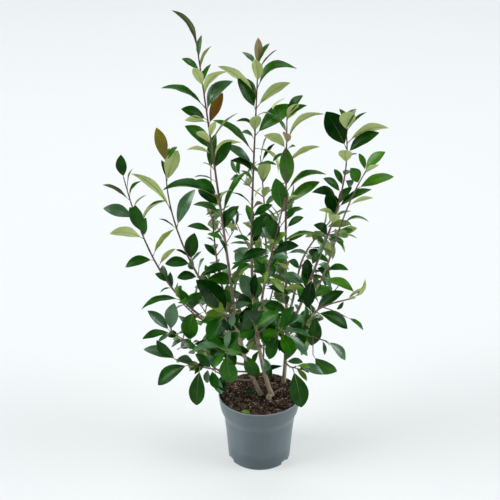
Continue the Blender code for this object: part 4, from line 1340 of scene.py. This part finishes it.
def make_shoots(stems, masses):
    """The leafy shoots and side twigs, brown below and red where they are young, and the dry twig."""
    rng = np.random.default_rng(12)
    older, young = [], []
    for name, (path, radii) in stems.items():
        skin = tube(path, radii, SHOOT_SIDES, bark_relief(path, SHOOT_SIDES, rng, SHOOT_RELIEF))
        split = int(len(path) * (TALL_BROWN if name in TALL_MASSES else LOW_BROWN))
        older.append(skin[:split + 1])
        young.append(skin[split:])
    for twigs, _ in masses.values():
        young += [tube(path, radii, TWIG_SIDES) for path, radii in twigs]
    brown = bark_paint("bark_brown", (0.115, 0.076, 0.060), (0.310, 0.220, 0.175), 320.0)
    make_dry_twig(brown)
    red = bark_paint("bark_red", (0.095, 0.046, 0.044), (0.215, 0.118, 0.104), 360.0)
    add_piece("shoots_brown", *join_tubes(older), brown, "bark", replaces=list(stems))
    add_piece("shoots_red", *join_tubes(young), red, "bark")


# Pot and soil

# Notches in the pot's foot, a little shallower than in the solids
NOTCH_ANGLES = (-36, 84, 204)
NOTCH_WIDTH = 0.024
NOTCH_HEIGHT = 0.008
NOTCH_DEPTH = 0.006
# How far in from its edge the pot's foot has them, steps round the pot and between two points of its
# outline, and rows of its skin that are outside
NOTCH_RUN = 0.0125
POT_TURNS = 192
OUTLINE_STEPS = 3
OUTSIDE_ROWS = 60
# Soil: radius of the innermost and outermost ring, rings and points on each, the heap behind the stems and
# how far back it is full, how far the face is sunk, and its lumps
SOIL_RADII = (0.0005, 0.1018)
SOIL_RINGS = 60
SOIL_TURNS = 160
HEAP = 0.0055
HEAP_RUN = 0.085
SOIL_SUNK = 0.0012
LUMPS = 0.0008

# x and y of the dry twig's ends and middle on the soil, its height above it and its radii
DRY_TWIG = ((0.037, 0.004), (0.049, 0.017), (0.062, 0.025))
DRY_TWIG_HEIGHT = 0.0035
DRY_TWIG_RADII = (0.0024, 0.0016)
DRY_TWIG_RINGS = 10
# x and y of the root, heading in degrees, rise, length, finish and width
FALLEN_LEAVES = (
    (-0.051, -0.081, -12, 0.05, 0.030, "lime", 1.3),
    (-0.022, 0.000, 160, 0.5, 0.016, "dark", 1.5),
    (-0.021, 0.001, 20, 0.6, 0.015, "deep", 1.5),
    (-0.022, -0.002, -95, 0.5, 0.016, "deep", 1.5),
    (-0.024, 0.002, 80, 0.7, 0.015, "dark", 1.4),
    (-0.016, -0.008, -40, 0.3, 0.014, "dark", 1.4),
    (-0.010, -0.013, -60, 0.3, 0.010, "gold", 1.6),
)
FALLEN_HEIGHT = 0.0025
# tone: how many bark chips, their mean length, breadth and thickness, and their two colours
CHIPS = {
    "black": (700, (0.0065, 0.0040, 0.0016), (0.002, 0.002, 0.001), (0.012, 0.008, 0.006)),
    "dark": (900, (0.0062, 0.0030, 0.0012), (0.026, 0.014, 0.010), (0.070, 0.038, 0.026)),
    "red": (900, (0.0075, 0.0026, 0.0012), (0.115, 0.062, 0.042), (0.215, 0.128, 0.092)),
    "pale": (520, (0.0085, 0.0017, 0.0009), (0.380, 0.260, 0.190), (0.640, 0.480, 0.370)),
}
# Corners and faces of a chip, how far out chips lie, the spread of their sizes, their least and greatest
# half sizes, how uneven a chip's corners are, its tilt, and how high its middle is in half thicknesses
CHIP_CORNERS = np.array([(x, y, z) for z in (-1, 1) for y in (-1, 1) for x in (-1, 1)], float)
CHIP_FACES = np.array([(0, 2, 3, 1), (4, 5, 7, 6), (0, 1, 5, 4), (2, 6, 7, 3), (0, 4, 6, 2), (1, 3, 7, 5)])
CHIPS_OUT = 0.0980
CHIP_SPREAD = (4.0, 0.25)
CHIP_HALVES = (0.0002, 0.0075)
CHIP_UNEVEN = (0.55, 1.1)
CHIP_TILT = 0.3
CHIP_LIFT = 0.9


def pot_profile():
    """Radius and height along the pot's outline, from the middle of its underside out, up, over the lip
    and down inside."""
    base, body, collar, rim, top = BASE_RADIUS, BODY_TOP_RADIUS, COLLAR_FOOT_RADIUS, RIM_RADIUS, POT_HEIGHT
    foot = top - COLLAR_HEIGHT
    return np.array([
        (0.004, 0.0), (base - 0.004, 0.0), (base - 0.0012, 0.0003), (base, 0.0016),
        (base + 0.0001, 0.0050), (base - 0.0002, 0.0056), (base + 0.0004, 0.0064),
        (base + 0.0006, NOTCH_HEIGHT), (base + 0.0026, 0.035), (base + 0.0062, 0.080),
        (base + 0.0088, 0.102), (body - 0.0002, foot - 0.020), (body + 0.0012, foot - 0.0145),
        (body + 0.0032, foot - 0.0095), (collar - 0.0036, foot - 0.0045), (collar - 0.0016, foot + 0.0005),
        (collar, foot + 0.0060), (collar + 0.0016, foot + 0.015), (collar + 0.0036, foot + 0.028),
        (rim - 0.0012, top - 0.0050), (rim - 0.0008, top - 0.0040), (rim - 0.0001, top - 0.0030),
        (rim, top - 0.0016), (rim - 0.0005, top - 0.0004), (rim - 0.0013, top),
        (rim - 0.0022, top - 0.0004), (rim - 0.0026, top - 0.0016), (rim - 0.0046, top - 0.016),
        (collar - 0.0022, foot + 0.010), (body - 0.003, foot - 0.006), (base - 0.003, 0.012),
        (base - 0.010, 0.0065), (0.004, 0.0065),
    ])


def make_pot():
    """The pot turned about its axis: x and y are the profile's radius times cos and sin of the turn, and
    the radius steps in at each notch in the foot."""
    profile = pot_profile()
    steps = [np.linspace(a, b, OUTLINE_STEPS + 1)[:-1] for a, b in zip(profile, profile[1:])]
    smooth = np.concatenate(steps + [profile[-1:]])
    turn = np.linspace(0, 2 * math.pi, POT_TURNS, endpoint=False)
    radius, height = smooth[:, 0][:, None], smooth[:, 1][:, None]
    reach = np.repeat(radius, len(turn), axis=1)
    outer = (np.arange(len(smooth)) < OUTSIDE_ROWS)[:, None] & (radius > BASE_RADIUS - NOTCH_RUN)
    for angle in NOTCH_ANGLES:
        off = np.abs((turn - math.radians(angle) + math.pi) % (2 * math.pi) - math.pi)[None] * BASE_RADIUS
        inside = (off < NOTCH_WIDTH / 2) & (height < NOTCH_HEIGHT) & outer
        reach = np.where(inside, np.minimum(reach, BASE_RADIUS - NOTCH_DEPTH), reach)
    height = np.repeat(height, len(turn), axis=1)
    points = np.stack([reach * np.cos(turn), reach * np.sin(turn), height], axis=-1)
    faces = grid_faces(len(smooth), len(turn), wrap=True)
    add_piece("pot_shell", points, faces, pot_paint(), "pot", replaces=["pot"])


def soil_height(x, y):
    """Height of the soil: level where the stems stand, heaped up by y^2 behind them, with low lumps, each
    a sine of x and y."""
    heap = HEAP * np.clip(y / HEAP_RUN, 0, 1) ** 2
    lumps = (np.sin(x * 190 + 1.3) * np.sin(y * 170 + 0.4) + 0.7 * np.sin(x * 330 + y * 290)
             + 0.5 * np.sin(x * 610 - y * 540 + 2.0))
    return SOIL_TOP + heap - SOIL_SUNK + LUMPS * lumps


def make_soil():
    """The soil's face as rings out from the middle, and bark chips of four tones strewn over it."""
    rings = np.linspace(*SOIL_RADII, SOIL_RINGS)[:, None]
    turn = np.linspace(0, 2 * math.pi, SOIL_TURNS, endpoint=False)[None]
    x, y = rings * np.cos(turn), rings * np.sin(turn)
    points = np.stack([x, y, soil_height(x, y)], axis=-1)
    faces = grid_faces(SOIL_RINGS, SOIL_TURNS, wrap=True)
    peat = soil_paint("soil_peat", (0.004, 0.003, 0.002), (0.022, 0.014, 0.009), 150.0)
    add_piece("soil_face", points, faces, peat, "soil", replaces=["soil"])
    rng = np.random.default_rng(21)
    for tone, (count, sizes, deep, pale) in CHIPS.items():
        chips = strew_chips(count, sizes, rng)
        faces = np.concatenate([CHIP_FACES + 8 * k for k in range(count)])
        paint = soil_paint(f"chips_{tone}", deep, pale, 400.0)
        add_piece(f"bark_chips_{tone}", chips, faces, paint, "soil")


def make_dry_twig(bark):
    """A dry twig on the soil behind the stems."""
    path = bezier([(x, y, soil_height(x, y) + DRY_TWIG_HEIGHT) for x, y in DRY_TWIG], DRY_TWIG_RINGS)
    skin = tube(path, np.linspace(*DRY_TWIG_RADII, DRY_TWIG_RINGS), SHOOT_SIDES)
    add_piece("dry_twig", *join_tubes([skin]), bark, "bark")


def fallen_leaves():
    """The small leaves that lie or sprout on the soil."""
    leaves = []
    for x, y, turn, rise, length, kind, width in FALLEN_LEAVES:
        ahead = unit((math.cos(math.radians(turn)), math.sin(math.radians(turn)), rise))
        face = unit(np.array((0.0, 0.0, 1.0)) - ahead * ahead[2])
        root = np.array((x, y, soil_height(x, y) + FALLEN_HEIGHT))
        leaves.append(Leaf(root, ahead, face, np.cross(ahead, face), length, 0.10, kind=kind, width=width))
    return leaves


def strew_chips(count, sizes, rng):
    """Corner points of bark chips: uneven slabs, each turned, tilted and half sunk in the soil."""
    out = CHIPS_OUT * np.sqrt(rng.random(count))
    angle = rng.uniform(0, 2 * math.pi, count)
    x, y = out * np.cos(angle), out * np.sin(angle)
    size = np.clip(rng.gamma(*CHIP_SPREAD, (count, 3)) * np.array(sizes) / 2, *CHIP_HALVES)
    corners = CHIP_CORNERS[None] * size[:, None] * rng.uniform(*CHIP_UNEVEN, (count, 8, 1))
    yaw = rng.uniform(*ANY_TURN, count)
    tilt, lean = rng.normal(0, CHIP_TILT, count), rng.normal(0, CHIP_TILT, count)
    for first, second, turn in ((1, 2, tilt), (0, 2, lean), (0, 1, yaw)):
        c, s = np.cos(turn)[:, None], np.sin(turn)[:, None]
        a, b = corners[..., first].copy(), corners[..., second].copy()
        corners[..., first], corners[..., second] = a * c - b * s, a * s + b * c
    ground = soil_height(x, y) + size[:, 2] * CHIP_LIFT
    return corners + np.stack([x, y, ground], axis=-1)[:, None]


# Stage, lights and camera

# way to each soft light, the cosines where its glow starts and is full, and its strength
SOFTBOXES = (
    ((-1, -0.2, 0.6), (0.93, 0.975), 8.5),
    ((1, -0.15, 0.6), (0.93, 0.975), 7.0),
    ((0, 0.1, 1), (0.90, 0.97), 2.6),
    ((0, 1, 0.4), (0.84, 0.96), 1.3),
)
AMBIENT = 0.05
SKY_TONE = (0.97, 0.985, 1.0, 1.0)
# Floor: half its width, its height, its glow, its tones near and far, the far one a painted shade, and where
# it is near and far
FLOOR_REACH = 30
FLOOR_HEIGHT = -0.0006
FLOOR_GLOW = 1.2
FLOOR_TONES = ((0.384, 0.397, 0.401), (0.406, 0.418, 0.421))
FAR_FLOOR_SHADE = (0.350, 0.363, 0.367)
FLOOR_MIDDLE = (-0.4, 1.4, 0.0)
FLOOR_NEAR = 1.0
FLOOR_FAR = 7.5
CAMERA_DOWN = 22.415
CAMERA_LENS = 65.03
CAMERA_SENSOR = 36.0


def make_stage():
    """A wide pale floor, with painted shade that darkens it far off."""
    mesh = bpy.data.meshes.new("floor")
    square = ((-1, -1), (1, -1), (1, 1), (-1, 1))
    corners = [(x * FLOOR_REACH, y * FLOOR_REACH, FLOOR_HEIGHT) for x, y in square]
    mesh.from_pydata(corners, [], [(0, 1, 2, 3)])
    floor = bpy.data.objects.new("floor", mesh)
    paint = Paint("floor_paper", {"Roughness": 0.8, SPECULAR: 0.1, "Emission Strength": FLOOR_GLOW})
    drift = paint.noise(paint.place(), 0.6, 2.0)
    apart = paint.node("ShaderNodeVectorMath", {"operation": "DISTANCE"},
                       {0: paint.place(), 1: FLOOR_MIDDLE}, "Value")
    near_paper = paint.blend(drift, *FLOOR_TONES)
    # Painted shade: the paper darkens towards the far floor, away from a middle behind the shrub
    paper = paint.blend(paint.between(apart, FLOOR_NEAR, FLOOR_FAR), near_paper, FAR_FLOOR_SHADE)
    paint.set("Base Color", paper)
    paint.set("Emission Color", paper)
    mesh.materials.append(paint.material)
    bpy.context.scene.collection.objects.link(floor)


def make_lights():
    """A dim studio round the shrub with soft lights at its left, its right, overhead and behind."""
    world = bpy.data.worlds.new("studio")
    bpy.context.scene.world = world
    world.use_nodes = True
    studio = Nodes(world.node_tree)
    way = studio.node("ShaderNodeTexCoord", {}, {}, "Generated")
    glow = AMBIENT
    for place, (start, full), power in SOFTBOXES:
        facing = studio.node("ShaderNodeVectorMath", {"operation": "DOT_PRODUCT"},
                             {0: way, 1: unit(place)}, "Value")
        glow = glow + studio.node("ShaderNodeMapRange", {"interpolation_type": "SMOOTHSTEP"},
                                  {"Value": facing, "From Min": start, "From Max": full, "To Max": power})
    sky = world.node_tree.nodes["Background"]
    studio.tree.links.new(glow.socket, sky.inputs["Strength"])
    sky.inputs["Color"].default_value = SKY_TONE


def make_camera():
    """The photograph's view: two metres in front, above the shrub's tip, looking down."""
    lens = bpy.data.cameras.new("camera")
    lens.lens = CAMERA_LENS
    lens.sensor_width = CAMERA_SENSOR
    camera = bpy.data.objects.new("camera", lens)
    camera.location = EYE
    camera.rotation_euler = (math.radians(90 - CAMERA_DOWN), 0, 0)
    bpy.context.scene.collection.objects.link(camera)
    bpy.context.scene.camera = camera
    bpy.context.scene.view_settings.view_transform = "Standard"


def make_shrub():
    """Grow the masses as the solids do, round the leaves that the photograph shows, then dress the limbs,
    shoots and leaves."""
    limbs = plan_limbs(1)
    rows = {**TALL_MASSES, **LOW_MASSES}
    stems = {name: plan_stem(limbs, row, 1) for name, row in rows.items()}
    paths = {name: path for name, (path, _) in {**limbs, **stems}.items()}
    side_twigs = plan_side_twigs(paths)
    paths.update(side_twigs)
    shown = {name: [read_leaf(path, row) for row in KEY_LEAVES.get(name, ())]
             for name, path in paths.items()}
    all_shown = [leaf for leaves in shown.values() for leaf in leaves]
    others = [(leaf.root, leaf.tree()) for leaf in all_shown]
    space = Space(limbs, stems, all_shown)
    masses = {}
    for seed, (name, row) in enumerate(rows.items()):
        tall = name in TALL_MASSES
        twigs, leaves = grow_mass(space, name, stems[name], row, len(shown[name]), others, tall, seed)
        masses[name] = (twigs, shown[name] + leaves)
    for seed, (name, limb) in enumerate(limbs.items(), 100):
        masses[name] = ([], shown[name] + grow_on_limb(space, name, limb, others, seed))
    for name, path in side_twigs.items():
        masses[name] = ([(path, np.linspace(*TWIG_RADII, len(path)))], shown[name])
    masses["soil"] = ([], fallen_leaves())
    limbs = plan_limbs(FINE_LIMBS)
    make_limbs(limbs)
    make_shoots({name: plan_stem(limbs, row, FINE_SHOOTS) for name, row in rows.items()}, masses)
    dress_leaves(masses)
    stalk = leaf_paint("leaf_stalk", (0.200, 0.230, 0.070), (0.320, 0.340, 0.120), 0.42, 0.25)
    make_stalks([leaf for _, leaves in masses.values() for leaf in leaves], stalk)


make_shrub()
make_pot()
make_soil()
make_stage()
make_lights()
make_camera()
